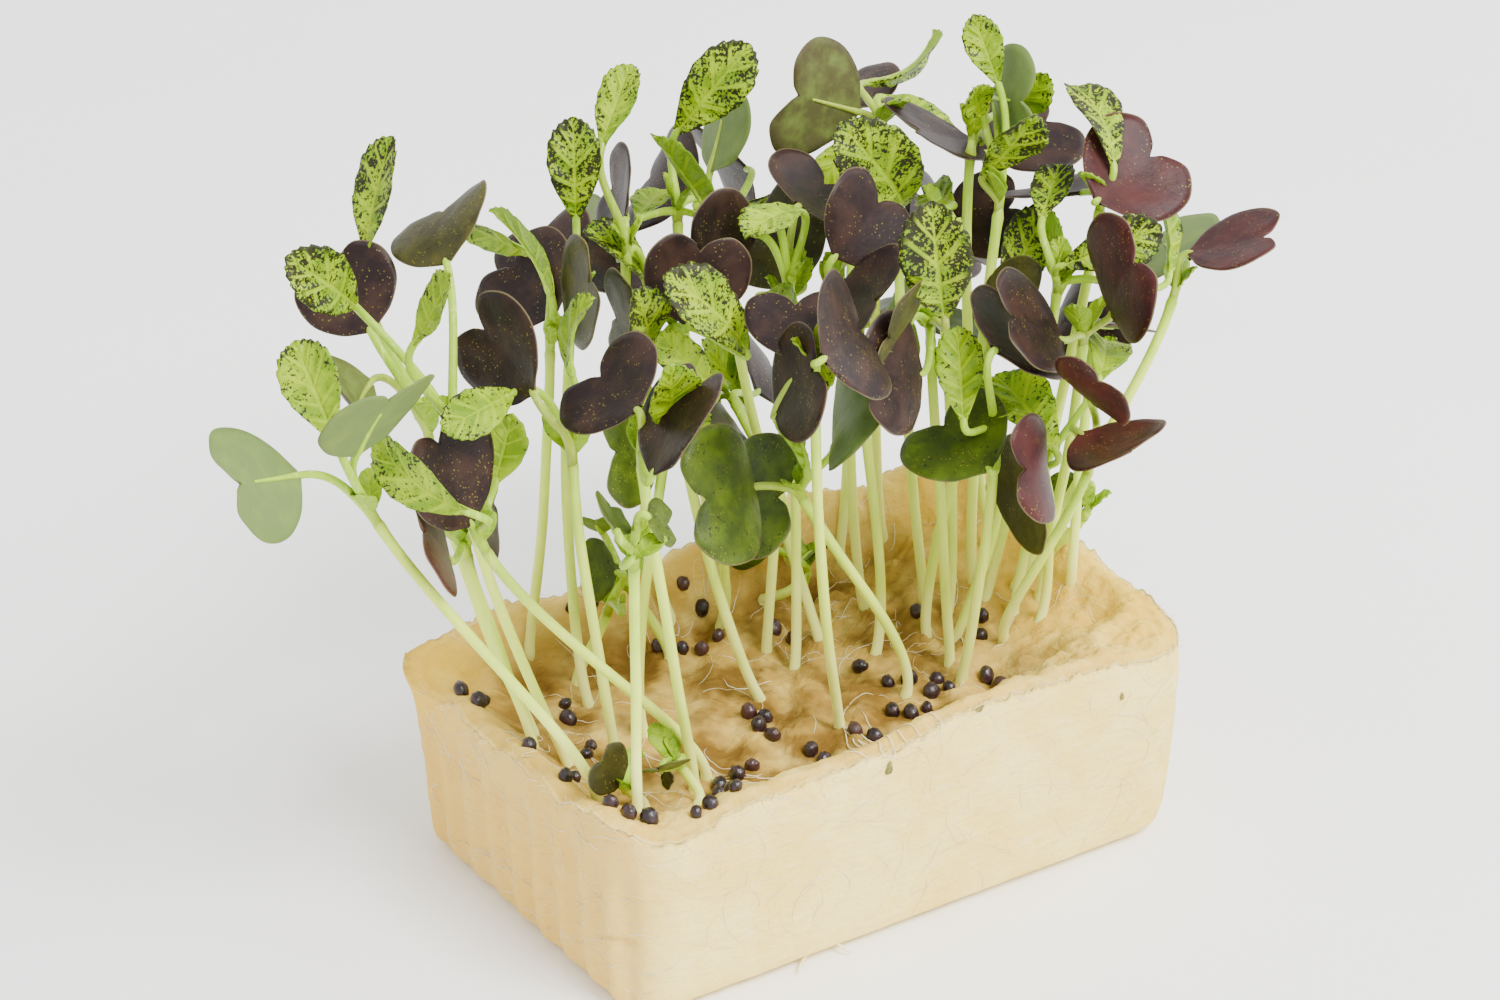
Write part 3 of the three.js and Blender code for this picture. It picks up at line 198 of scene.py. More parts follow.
# Each plant: where it is rooted, where its stem ends, how far the stem bows aside, and its
# leaves: kind, the stalk's reach from the crown, the blade's reach from its base to its tip,
# its roll about that line and how far it curls over, in degrees.
PLANTS = [
    # far left
    ((-38, -12), (-63, -4, 68), (1, -1), [("grey", (-11, -3, 10), (-11, -4, 4), 135, 15),
     ("grey", (-4, -4, 11), (2, -7, 11), -5, 15), ("lime", (-6, -3, 13), (1, 11, 8), -30, -5)]),
    # left low
    ((-38, 3), (-45, 6, 53), (0, 1), [("red", (-8, -10, 6), (-7, -5, 9), -60, 10),
     ("purple", (0, -3, 5), (8, 9, -3), 90, -5)]),
    # left diagonal
    ((-20, -9), (-48, -3, 59), (0, -2), [("purple", (-3, -3, 5), (-3, 3, 13), -20, -10),
     ("lime", (-8, -11, 12), (-6, 10, 7), -90, 60), ("young", (4, 3, 6), (2, -1, 9), 75, -25)]),
    # left tall
    ((-35, 8), (-45, 14, 65), (-3, -2), [("purple", (-6, 3, 15), (-1, 8, 7), -40, -50),
     ("speckled", (-3, 9, 22), (6, 3, 13), -20, 10), ("olive", (-9, -2, 11), (-7, -11, 2), 120, 45)]),
    # left lime
    ((-34, 1), (-49, 1, 73), (-2, 2), [("lime", (-6, -2, 14), (3, -4, 10), 45, -15),
     ("speckled", (-6, 12, 13), (-10, -2, 10), -85, 45), ("olive", (6, 11, 16), (6, 10, 2), -35, 40)]),
    # left back
    ((-26, 24), (-23, 22, 68), (1, 0), [("purple", (2, 2, 3), (0, 12, 3), -45, -10),
     ("speckled", (1, 1, 6), (-4, 8, 10), 55, 40), ("lime", (3, 9, 8), (-6, 9, 3), -120, -5),
     ("olive", (2, -1, 3), (0, -7, 10), 75, 0)]),
    # tall speckled
    ((-23, 14), (-17, 26, 71), (-2, 2), [("speckled", (3, 4, 9), (1, 2, 13), -5, 40),
     ("purple", (1, 6, -1), (4, 10, 4), -30, 25), ("purple", (5, 6, -2), (10, 6, -1), 15, -10)]),
    # arching lime
    ((-28, -1), (-32, 2, 64), (-1, 0), [("lime", (-11, -5, 14), (-11, -2, -1), -50, 30),
     ("purple", (-10, -8, 15), (-2, 11, 6), -85, -30), ("lime", (-1, -2, 12), (2, -2, 11), 25, 60)]),
    # centre left purple
    ((-23, -11), (-34, -17, 73), (0, 0), [("purple", (-1, -1, 7), (1, 12, 0), -40, -15),
     ("purple", (-4, -9, 3), (9, 2, 10), -25, 20), ("lime", (2, -2, 5), (-3, -6, 11), -155, 35)]),
    # centre left speckled
    ((-21, 4), (-21, -2, 64), (-2, 0), [("speckled", (2, 9, 8), (-4, -5, 12), -125, 50),
     ("lime", (7, 0, 6), (-6, 3, 8), -90, 30), ("green", (2, 5, -1), (-11, -5, 2), -80, 15)]),
    # tall left centre
    ((-5, 23), (-9, 26, 76), (-2, 2), [("speckled", (4, 1, -9), (-8, 3, 11), -20, 70),
     ("grey", (7, 11, -6), (2, 11, -6), 75, 15), ("lime", (-1, 4, 13), (7, 4, 8), -5, 5),
     ("purple", (1, 2, 3), (4, 11, 0), -75, -25)]),
    # upright lime back
    ((3, 24), (3, 33, 75), (0, 2), [("speckled", (2, 3, 10), (8, -5, 12), 75, 40),
     ("purple", (7, 7, -2), (1, 13, -3), -50, 50), ("lime", (-6, 0, 1), (8, 7, -1), -5, 5),
     ("speckled", (2, -5, 1), (-8, 1, 13), 15, 15)]),
    # big purple centre
    ((-4, 3), (-13, 9, 73), (-4, 0), [("purple", (-1, -5, 3), (3, 1, 11), 55, -15),
     ("speckled", (3, -12, 1), (-10, 3, 12), -50, 50), ("olive", (-4, -2, 0), (1, 12, -1), -90, 10)]),
    # grey leaf
    ((10, 10), (10, 33, 69), (-1, 3), [("grey", (0, 3, 9), (4, 2, 10), 145, 15),
     ("purple", (9, 8, 5), (2, 12, -4), -115, 20), ("speckled", (3, 1, 4), (10, -6, 5), 120, 45)]),
    # olive fold
    ((4, 7), (7, 14, 69), (1, 0), [("olive", (4, 2, 1), (0, 11, 7), -40, 45),
     ("purple", (2, 0, 13), (10, 7, -1), 30, -40), ("lime", (-5, -2, 3), (-1, -10, 3), 70, -30)]),
    # lime notched
    ((3, 12), (5, 10, 73), (-1, -2), [("lime", (1, -1, 11), (-11, -4, 1), -10, 45),
     ("lime", (-1, 4, 10), (-2, 10, -8), -70, -5), ("purple", (-4, 2, 8), (-12, -3, 2), -90, -10)]),
    # centre front purple
    ((12, -7), (-2, -3, 52), (2, -1), [("grey", (3, -3, 7), (2, -8, 11), 45, 60),
     ("green", (-7, 0, 3), (-13, -5, 4), -65, 55), ("lime", (-1, -3, 5), (0, 6, 8), -155, -20)]),
    # centre purple pair
    ((1, -8), (-10, -18, 78), (-2, -1), [("purple", (0, 4, 0), (5, 8, 4), 0, -5),
     ("purple", (-3, -6, 5), (11, 8, -2), 60, 30), ("purple", (-3, 4, -7), (2, -7, 10), 60, 5),
     ("lime", (7, 8, 1), (-5, -4, -7), -20, 20)]),
    # speckled arch top
    ((20, 14), (21, 19, 76), (-3, -1), [("speckled", (6, -2, 0), (-12, -3, 16), -105, 80),
     ("lime", (3, 4, 9), (-7, 0, -7), -65, 15), ("speckled", (7, 7, -4), (2, 7, 7), 60, -35),
     ("lime", (12, 6, -2), (2, 9, -1), 0, 45)]),
    # purple top
    ((29, 23), (30, 26, 83), (-1, 1), [("purple", (5, 8, -1), (1, 11, -1), -10, 20),
     ("purple", (-1, 4, 1), (-12, -1, 6), 90, 15), ("speckled", (4, 9, 2), (12, 2, 4), 130, 70),
     ("lime", (3, 4, 2), (8, -5, -7), 15, 40)]),
    # dark hood
    ((14, 3), (10, 6, 72), (3, 0), [("purple", (-3, -3, 8), (9, 2, 6), 65, 30),
     ("purple", (-5, -6, 5), (-1, -12, 4), 45, -20), ("lime", (-4, -1, 1), (9, 4, 11), 110, 15)]),
    # big speckled
    ((21, -4), (19, -1, 68), (0, 0), [("speckled", (-8, -14, 10), (-3, -1, 17), -145, 40),
     ("olive", (-9, -8, 7), (-10, -8, 4), -105, 25), ("purple", (-10, -12, 2), (-11, -4, 5), -70, 25)]),
    # right green tall
    ((32, 6), (33, 4, 80), (-3, -1), [("lime", (3, 5, 14), (-2, 3, 9), -65, -5),
     ("lime", (2, 7, 9), (-5, -5, 7), -135, -15), ("grey", (7, 11, 9), (-2, -11, 4), -95, -45),
     ("speckled", (-2, 1, 4), (2, -8, 11), 150, 5)]),
    # right purple edge
    ((37, 8), (35, 13, 85), (-3, 1), [("purple", (5, 6, -4), (-12, -1, 6), -10, -15),
     ("purple", (8, 8, -7), (13, 1, 2), 25, -5), ("lime", (10, 6, -1), (1, -7, 8), 125, 55)]),
    # right speckled
    ((32, -3), (43, -4, 81), (1, 1), [("speckled", (1, -1, 5), (2, 12, 6), 15, 65),
     ("red", (-3, -3, 2), (12, 2, 4), 40, -30), ("purple", (1, 5, -1), (3, 13, -5), -5, 0)]),
    # right speckled pair
    ((31, 2), (35, -6, 72), (3, 2), [("speckled", (-1, -2, 4), (11, -6, 5), 80, 10),
     ("speckled", (1, 5, 7), (8, 7, 3), -10, 5), ("lime", (-1, -1, 2), (6, 12, 1), 80, 45),
     ("lime", (14, -5, 0), (4, 8, 7), 60, 25)]),
    # right red purple
    ((36, -3), (34, -13, 68), (0, -1), [("red", (2, -3, 4), (-1, -7, 12), 90, 30),
     ("purple", (-5, -2, 2), (-10, -1, 7), -40, 0), ("purple", (2, 1, 1), (8, 3, -4), -5, -5)]),
    # far right
    ((35, 1), (54, -6, 66), (-1, -3), [("red", (2, 0, 5), (8, -8, 4), 5, -10),
     ("grey", (4, 3, 2), (4, 12, -2), 150, 5)]),
    # right lower pair
    ((29, -5), (36, -13, 49), (-3, -2), [("red", (-9, -11, 17), (-3, -6, 7), 135, 30),
     ("red", (-5, -4, 8), (1, -11, 3), 10, -55)]),
    # right lime fork
    ((33, -7), (30, -11, 49), (3, 1), [("lime", (-2, -5, 6), (2, 16, 3), -10, 35),
     ("red", (-5, -7, 5), (-9, -5, 5), -70, 55), ("lime", (6, -3, 13), (8, 10, -1), 25, 45)]),
    # right purple behind
    ((39, -6), (43, -3, 55), (-1, -1), [("purple", (1, 6, -1), (8, 0, 6), 0, -10),
     ("purple", (0, 2, 7), (3, 10, -7), -50, 65)]),
    # right front green
    ((20, -8), (22, -11, 57), (0, -2), [("green", (-5, -6, -1), (0, 12, 2), -30, 20),
     ("purple", (-4, -5, 15), (11, 7, -3), 35, 0), ("lime", (-7, -3, 5), (3, 6, 10), -15, -20)]),
    # right olive
    ((24, 0), (29, -3, 45), (1, -2), [("olive", (-4, -4, 1), (-1, -12, 5), 90, -35)]),
    # right long olive
    ((23, 4), (30, 1, 62), (-1, 1), [("olive", (-1, 1, 4), (5, -7, 5), 50, -5),
     ("green", (8, 11, -7), (4, 12, 0), 5, -10), ("speckled", (3, 2, 5), (10, 4, 9), 40, -20)]),
    # back purple one
    ((27, 5), (29, 12, 76), (1, -1), [("purple", (6, 6, -7), (8, 10, -2), 50, 5),
     ("purple", (7, 7, -8), (9, -4, 5), 30, 0), ("lime", (4, 2, 0), (3, 10, -3), -35, 15)]),
    # back purple two
    ((26, 9), (28, 19, 70), (-2, -2), [("purple", (7, 8, -2), (0, 12, -4), -50, 15),
     ("purple", (9, 8, -7), (10, 7, -2), 40, -10)]),
    # centre grey green
    ((22, 23), (29, 29, 53), (1, 1), [("green", (2, 3, -1), (5, 8, -3), -15, -5),
     ("green", (3, -1, 0), (-1, -10, 5), -110, -10), ("lime", (2, 2, 1), (5, 8, 1), -30, 10)]),
    # left small green
    ((-37, -20), (-37, -20, 61), (0, 0), [("green", (-6, -6, 9), (2, 5, 1), 50, -10),
     ("green", (-3, -8, 11), (4, 1, -3), 50, -30), ("young", (-5, -8, 6), (4, -1, 2), 20, 40)]),
    # left small two
    ((-22, 19), (-18, 17, 31), (0, 0), [("green", (-2, -5, 8), (-6, -1, 3), -65, -15),
     ("young", (-3, -8, 5), (1, 1, 1), 70, -30), ("green", (1, 0, 2), (0, 3, 2), -15, 0)]),
    # left small three
    ((-9, 17), (-12, 21, 29), (1, 0), [("green", (-2, 4, 8), (-2, -1, 3), 15, 0),
     ("green", (2, 1, 4), (1, 1, 2), 90, -5)]),
    # wall seedling
    ((39, 0), (42, -5, 37), (0, 0), [("green", (2, 3, 2), (-4, 2, -2), -60, -10),
     ("green", (4, 5, -1), (1, 2, -2), 95, 25)]),
    # fallen one
    ((-31, -12), (-35, -14, 26), (0, 1), [("olive", (-2, -2, 2), (-3, 0, 5), -75, -5),
     ("young", (2, 1, 4), (0, -2, 0), 40, 0)]),
    # fallen two
    ((-25, -15), (-26, -12, 25), (1, 0), [("olive", (-3, -5, 4), (-5, -2, 2), 30, -35),
     ("olive", (-4, -3, 2), (0, -2, -1), 85, 15)]),
    # centre olive
    ((1, 20), (-3, 14, 43), (0, -2), [("olive", (2, 2, 5), (10, 8, -3), 5, -25),
     ("green", (-3, -4, 3), (4, -12, 5), 55, 20), ("lime", (1, 5, 5), (3, 11, 1), 0, 5)]),
    # centre back lime
    ((14, 24), (12, 34, 45), (1, -4), [("lime", (6, 6, -6), (-3, 6, 9), 5, 10),
     ("olive", (1, 5, -3), (-7, -9, 1), -55, 30), ("purple", (6, 3, -2), (8, 9, -2), 50, 30)]),
    # shadow leaf
    ((9, 22), (14, 19, 25), (0, -2), [("green", (-4, 2, 4), (-6, -1, 5), -90, -30),
     ("green", (-2, -2, 3), (5, 3, -1), 135, -30)]),
]


# Small tools

def smooth(a, b, x):
    t = np.clip((np.asarray(x, float) - a) / (b - a), 0, 1)
    return t * t * (3 - 2 * t)


def unit(v):
    return v / np.linalg.norm(v)


def fbm(points, height, size):
    """Fractal noise at each point, up to about height; size is that of its largest features."""
    return height * np.array([noise.fractal(Vector(p) / size, 0.8, 2.1, 4) for p in points])


def bezier(a, b, c, d, t):
    t = np.asarray(t, float)[:, None]
    s = 1 - t
    return s**3 * a + 3 * s**2 * t * b + 3 * s * t**2 * c + t**3 * d


SPLINE_STEPS = 24
SPLINE_WEIGHTS = np.array([[0, 1, 0, 0], [-0.5, 0, 0.5, 0], [1, -2.5, 2, -0.5], [-0.5, 1.5, -1.5, 0.5]])


def spline(points, count):
    """A smooth line through the points, with count samples evenly spaced by length."""
    p = np.array(points, float)
    p = np.vstack([2 * p[0] - p[1], p, 2 * p[-1] - p[-2]])
    powers = np.vander(np.linspace(0, 1, SPLINE_STEPS, endpoint=False), 4, increasing=True)
    fine = np.vstack([powers @ SPLINE_WEIGHTS @ p[i:i + 4] for i in range(len(p) - 3)] + [p[-2]])
    length = np.concatenate([[0], np.cumsum(np.linalg.norm(np.diff(fine, axis=0), axis=1))])
    at = np.linspace(0, length[-1], count)
    return np.column_stack([np.interp(at, length, fine[:, k]) for k in range(p.shape[1])])


def placed(name, data):
    """A new object in the scene that holds the mesh, light or camera given."""
    obj = bpy.data.objects.new(name, data)
    bpy.context.scene.collection.objects.link(obj)
    return obj


class Skin:
    """Gathers vertices, faces and named values at the vertices, then makes one piece of them."""

    def __init__(self):
        self.points = []
        self.faces = []
        self.values = {}
        self.count = 0

    def add(self, points, faces, **values):
        self.points.append(np.asarray(points, float))
        self.faces += [tuple(int(i) + self.count for i in face) for face in faces]
        for key, value in values.items():
            value = np.broadcast_to(np.asarray(value, float), (len(points),))
            self.values.setdefault(key, []).append(value)
        self.count += len(points)

    def piece(self, name, material, node="growing_block", slot="growing_fibre"):
        mesh = bpy.data.meshes.new(name)
        mesh.from_pydata((np.vstack(self.points) * MM).tolist(), [], self.faces)
        mesh.shade_smooth()
        for key, parts in self.values.items():
            layer = mesh.attributes.new(key, "FLOAT", "POINT")
            layer.data.foreach_set("value", np.concatenate(parts).astype(np.float32))
        mesh.materials.append(material)
        obj = placed(name, mesh)
        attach(obj, "root")
        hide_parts(node)


def grid_faces(rows, columns, closed):
    """Faces of a grid of points stored row by row; closed joins the last column to the first."""
    faces = []
    for r in range(rows - 1):
        for c in range(columns if closed else columns - 1):
            d = (c + 1) % columns
            faces.append((r * columns + c, r * columns + d, (r + 1) * columns + d, (r + 1) * columns + c))
    return faces


def capped_faces(rows, columns):
    """Faces of a closed grid of points that has one point before it and one after it."""
    faces = [tuple(i + 1 for i in face) for face in grid_faces(rows, columns, True)]
    last = 1 + rows * columns
    for i in range(columns):
        j = (i + 1) % columns
        faces.append((0, 1 + j, 1 + i))
        faces.append((last, last - columns + i, last - columns + j))
    return faces


def flipped(faces):
    return [tuple(reversed(face)) for face in faces]


def tube(skin, path, radii, sides, flat=1.0, **values):
    """A round, closed tube along the path; flat squeezes it in its own up direction."""
    path = np.asarray(path, float)
    tangents = np.gradient(path, axis=0)
    tangents /= np.linalg.norm(tangents, axis=1)[:, None]
    side = unit(np.cross(tangents[0], ASKEW))
    angles = np.linspace(0, 2 * np.pi, sides, endpoint=False)
    points = [path[0]]
    for centre, tangent, radius in zip(path, tangents, radii):
        side = unit(side - tangent * side.dot(tangent))
        up = np.cross(tangent, side) * flat
        for a in angles:
            points.append(centre + radius * (cos(a) * side + sin(a) * up))
    points.append(path[-1])
    for key, value in values.items():
        if np.ndim(value):
            values[key] = np.concatenate([value[:1], np.repeat(value, sides), value[-1:]])
    skin.add(points, capped_faces(len(path), sides), **values)


# The block's shape, as its solid has it

def rim_height(x, y):
    """The rim's height beside a point: each side counts by its nearness."""
    total = 0
    weights = 0
    sides = [(HALF_WIDTH + y, RIM_FRONT, x), (HALF_WIDTH - y, RIM_BACK, x),
             (HALF_LENGTH + x, RIM_LEFT, y), (HALF_LENGTH - x, RIM_RIGHT, y)]
    for distance, row, at in sides:
        weight = 1 / np.maximum(LEAST_DISTANCE, distance) ** 2
        places = RIM_STEP * (np.arange(len(row)) - (len(row) - 1) / 2)
        total += weight * np.interp(at, places, row)
        weights += weight
    return total / weights


def inset_at(x, y):
    qx = np.abs(x) - STRAIGHT_X
    qy = np.abs(y) - STRAIGHT_Y
    outside = np.hypot(np.maximum(qx, 0), np.maximum(qy, 0))
    return CORNER_RADIUS - outside - np.minimum(np.maximum(qx, qy), 0)


def floor_height(x, y):
    z = FLOOR_HEIGHT
    for (rise, start, end), at in ((FRONT_SHELF, y), (RIGHT_SHELF, x), (LEFT_SHELF, x)):
        z = z + rise * smooth(start, end, at)
    z = z + 0.5 * np.sin(0.42 * x + 1) * np.sin(0.47 * y + 0.6) + 0.35 * np.sin(0.75 * x - 0.6 * y)
    for at_x, at_y, high, spread in LUMPS:
        z = z + high * np.exp(-((x - at_x) ** 2 + (y - at_y) ** 2) / spread**2)
    return z


def top_height(x, y):
    x = np.asarray(x, float)
    y = np.asarray(y, float)
    rim = rim_height(x, y)
    floor = np.minimum(floor_height(x, y), rim - LEAST_RIM)
    return floor + (rim - floor) * (1 - smooth(RIM_WIDTH, WALL_FOOT, inset_at(x, y)))


def pulp(x, y):
    """The top with the fine lumps of its fibre, at single points or whole rows."""
    x = np.atleast_1d(x)
    y = np.atleast_1d(y)
    z = top_height(x, y)
    flat = np.column_stack([x, y, np.zeros_like(x)])
    inside = smooth(0.5, 4, inset_at(x, y))
    clods = np.abs(fbm(flat + 70, *CLODS)) * smooth(*CLODS_FROM, x)
    return z + inside * (fbm(flat, *SWELLS) + np.abs(fbm(flat + 40, *GRAIN)) + clods)


def outline_ring():
    """Points evenly round the block's outline, and the direction out of the block at each."""
    lengths = [2 * STRAIGHT_X, QUARTER, 2 * STRAIGHT_Y, QUARTER] * 2
    corners = np.array(CORNERS) * [STRAIGHT_X, STRAIGHT_Y]
    points = []
    normals = []
    for s in np.linspace(0, sum(lengths), OUTLINE_STEPS, endpoint=False):
        part = 0
        while s > lengths[part]:
            s -= lengths[part]
            part += 1
        side = part // 2
        turned, short = (s / CORNER_RADIUS, 0) if part % 2 else (0, lengths[part] - s)
        angle = (side - 1) * np.pi / 2 + turned
        normal = np.array([cos(angle), sin(angle)])
        along = np.array([-normal[1], normal[0]])
        points.append(corners[side] - along * short + normal * CORNER_RADIUS)
        normals.append(normal)
    return np.array(points), np.array(normals)


def from_far_corner(points):
    """The squared distance of each point from the block's back left corner, seen from above."""
    return (points[:, 0] + HALF_LENGTH) ** 2 + (points[:, 1] - HALF_WIDTH) ** 2


def wall_rows(ring, normals):
    """The outer wall, row by row from the base to the rim."""
    around = np.column_stack([ring, np.zeros(len(ring))])
    x, y = ring.T
    rim = rim_height(x, y) + fbm(around, *RIM_WAVES) + fbm(around + 9, *RIM_TEARS)
    rim = rim - np.abs(fbm(around + 30, *RIM_NOTCHES))
    lip = LIP_REACH * np.exp(-from_far_corner(ring) / LIP_SPREAD**2)
    flute = FLUTE_DEPTH * smooth(*LEFT_END, x) * (0.5 - 0.5 * np.cos(2 * np.pi * y / FLUTE_PITCH))
    rows = []
    for share in np.linspace(0, 1, WALL_ROWS) ** ROW_CROWDING:
        z = rim * share
        inset = np.interp(z, WALL_HEIGHTS, WALL_INSETS) - lip * share**6
        inset = inset + flute * smooth(*FLUTE_FOOT, z) * (1 - smooth(*FLUTE_HEAD, z))
        inset = inset + 0.2 * smooth(0.96, 1, share)
        points = np.column_stack([ring - normals * inset[:, None], z])
        rough = fbm(points, *WALL_WAVES) + fbm(points * [1, 1, 0.6], *WALL_GRAIN)
        rough = rough * smooth(-0.02, 0.12, share) - nick_at(points)
        points[:, :2] += normals * rough[:, None]
        rows.append(points)
    return rows, rim


def nick_at(points):
    """How deep the crescent nick low on the left end is at each point."""
    y = points[:, 1] - NICK[0]
    z = points[:, 2] - NICK[1] - NICK_BEND * y**2
    on_end = smooth(-30, -40, points[:, 0])
    return NICK_DEPTH * on_end * np.exp(-((y / NICK_REACH[0]) ** 4) - (z / NICK_REACH[1]) ** 2)


def top_rows(ring, normals, rim):
    """The rim's inner slope and the lumpy top, row by row to the middle."""
    rows = []
    for inset in np.linspace(0, WALL_FOOT, SLOPE_ROWS + 1)[1:]:
        xy = ring - normals * inset
        z = pulp(xy[:, 0], xy[:, 1])
        reach, drop, fall = CREST
        z = z + (1 - smooth(0, reach, inset)) * (rim - drop - fall * inset**2 - z)
        rows.append(np.column_stack([xy, z]))
    edge = rows[-1][:, :2]
    for share in np.linspace(1, FLOOR_MIDDLE, FLOOR_ROWS + 1)[1:]:
        xy = edge * share
        rows.append(np.column_stack([xy, pulp(xy[:, 0], xy[:, 1])]))
    return rows


def block_piece(material, ring, normals, walls, rim):
    tops = top_rows(ring, normals, rim)
    rows = walls + tops
    points = np.vstack([[[0, 0, 0]], *rows, [[0, 0, pulp(0, 0)[0]]]])
    x, _, z = points.T
    first_top = 1 + len(ring) * len(walls)
    inside = np.ones(len(points))
    inside[:first_top] = 0
    inside[first_top - len(ring):first_top + 2 * len(ring)] = RIM_INSIDE
    # Painted glow of light through the thin wall high at the back left corner, and the right shelf's own
    # yellow
    corner = np.exp(-from_far_corner(points) / CORNER_GLOW_SPREAD**2) * smooth(*CORNER_GLOW_HEIGHT, z)
    amber = np.maximum(corner, AMBER_RIGHT * inside * smooth(*AMBER_RIGHT_FROM, x))
    # depth carries the painted shade low in the hollow
    skin = Skin()
    # end carries the painted shade on the wall's left end
    skin.add(points, capped_faces(len(rows), len(ring)), inside=inside, amber=amber,
             depth=smooth(*HOLLOW_SHADE_FROM, z) * inside, end=smooth(*END_SHADE_FROM, x) * (1 - inside))
    skin.piece("fibre_block", material)


# Things lying on the block

def husk_into(skin, x, y):
    """One seed husk: a bumpy round coat with a split, a third of it sunk in."""
    radius = uniform(*HUSK_RADIUS)
    tilt = Matrix.Rotation(uniform(-HUSK_TILT, HUSK_TILT), 3, "X")
    tilt = tilt @ Matrix.Rotation(uniform(0, 6.2), 3, "Z")
    centre = np.array([x, y, pulp(x, y)[0] + 0.35 * radius])
    pole = np.array(tilt @ Vector((0, 0, radius)))
    points = [centre + pole]
    seed = uniform(0, 50)
    for i in range(HUSK_ROWS):
        a = np.pi * (i + 0.5) / HUSK_ROWS
        for j in range(HUSK_SIDES):
            b = 2 * np.pi * j / HUSK_SIDES
            p = Vector((sin(a) * cos(b), 0.84 * sin(a) * sin(b), 1.12 * cos(a)))
            split = 0.16 * math.exp(-((b - 1.2) / 0.24) ** 2) * sin(a)
            r = radius * (1 - split + 0.12 * noise.noise(p * 2.4 + Vector((seed, 0, 0))))
            points.append(centre + np.array(tilt @ (p * r)))
    points.append(centre - pole)
    skin.add(points, flipped(capped_faces(HUSK_ROWS, HUSK_SIDES)), tone=draws.random())


def husk_places():
    """The solid's husks, and more that lie beside some of them, clear of the stems."""
    places = [tuple(map(float, husk)) for husk in HUSKS]
    for x, y in HUSKS:
        angle = uniform(0, 2 * math.pi)
        away = uniform(*HUSK_SPACING)
        near = (x + away * cos(angle), y + away * sin(angle))
        others = places + [plant[0] for plant in PLANTS]
        clear = min(math.dist(near, other) for other in others if other != (x, y))
        if clear > HUSK_SPACING[0] and inset_at(*near) > 2.5:
            places.append(near)
    return places


def husk_pieces(material):
    skin = Skin()
    for x, y in husk_places():
        husk_into(skin, x, y)
    skin.piece("seed_husks", material)


def thread_into(skin, x, y, length, radius):
    """One pale root thread lying over the fibre."""
    heading = uniform(0, 2 * math.pi)
    bend = uniform(-0.35, 0.35)
    path = []
    for _ in range(THREAD_STEPS):
        heading += bend + uniform(-0.3, 0.3)
        x += cos(heading) * length / THREAD_STEPS
        y += sin(heading) * length / THREAD_STEPS
        if inset_at(x, y) < 0.9:
            heading += 2.2
        path.append((x, y, pulp(x, y)[0] + radius * uniform(0.2, 1.6)))
    along = np.linspace(0, THREAD_STEPS - 1, 18)
    radii = np.interp(along, range(THREAD_STEPS), radius * THREAD_TAPER)
    tube(skin, spline(path, len(along)), radii, 5)


def root_threads(material):
    skin = Skin()
    for _ in range(TOP_THREADS):
        root = draws.choice(PLANTS)[0]
        x = root[0] + draws.gauss(0, 4)
        y = root[1] + draws.gauss(0, 4)
        if inset_at(x, y) > 2:
            thread_into(skin, x, y, uniform(*THREAD_LENGTH), uniform(*FIBRE_RADIUS))
    skin.piece("root_threads", material)


def wall_point(walls, normals, at, height, out):
    """A point on the outer wall: at counts outline steps, height counts wall rows."""
    at %= OUTLINE_STEPS
    height = min(max(height, 0.5), WALL_ROWS - 1.01)
    i, k = int(at), int(height)
    j = (i + 1) % OUTLINE_STEPS
    f, g = at - i, height - k
    low, high = (row[i] * (1 - f) + row[j] * f for row in walls[k:k + 2])
    point = low * (1 - g) + high * g
    point[:2] += normals[i] * out
    return point


def wall_thread(walls, normals, at, height, heading, length, lift):
    """The line of a fibre that lies on the outer wall."""
    bend = uniform(-FIBRE_WANDER, FIBRE_WANDER)
    pace = length / len(FIBRE_TAPER)
    path = []
    for _ in FIBRE_TAPER:
        path.append(wall_point(walls, normals, at, height, uniform(*lift)))
        heading += bend + uniform(-FIBRE_WANDER, FIBRE_WANDER)
        at += cos(heading) * pace / OUTLINE_PITCH
        height += sin(heading) * pace / WALL_PITCH
    return path


def wall_fibres(material, walls, normals):
    """Fine fibres matted into the outer wall, and a fuzz of them along the torn rim."""
    skin = Skin()
    for _ in range(WALL_FIBRES):
        at = uniform(0, OUTLINE_STEPS)
        height = WALL_ROWS * uniform(0.12, 1)
        heading = draws.choice([0, math.pi]) + draws.gauss(0, 0.6)
        length = uniform(*FIBRE_LENGTH)
        path = wall_thread(walls, normals, at, height, heading, length, (-0.02, 0.09))
        tube(skin, path, uniform(*FIBRE_RADIUS) * FIBRE_TAPER, 4)
    for _ in range(RIM_HAIRS):
        at = uniform(0, OUTLINE_STEPS)
        root = wall_point(walls, normals, at, WALL_ROWS - uniform(1.1, 2.5), -0.05)
        out = np.array([*normals[int(at)], 0])
        aim = out * uniform(-0.6, 1) + UP * uniform(0.1, 1)
        aim = unit(aim + [draws.gauss(0, 0.5), draws.gauss(0, 0.5), 0])
        length = uniform(*HAIR_LENGTH)
        sag = UP * length * uniform(0, 0.5)
        path = [root + aim * length * t - sag * t * t for t in np.linspace(0, 1, 6)]
        tube(skin, path, uniform(*HAIR_RADIUS) * np.linspace(1, 0.3, 6), 4)
    skin.piece("wall_fibres", material)


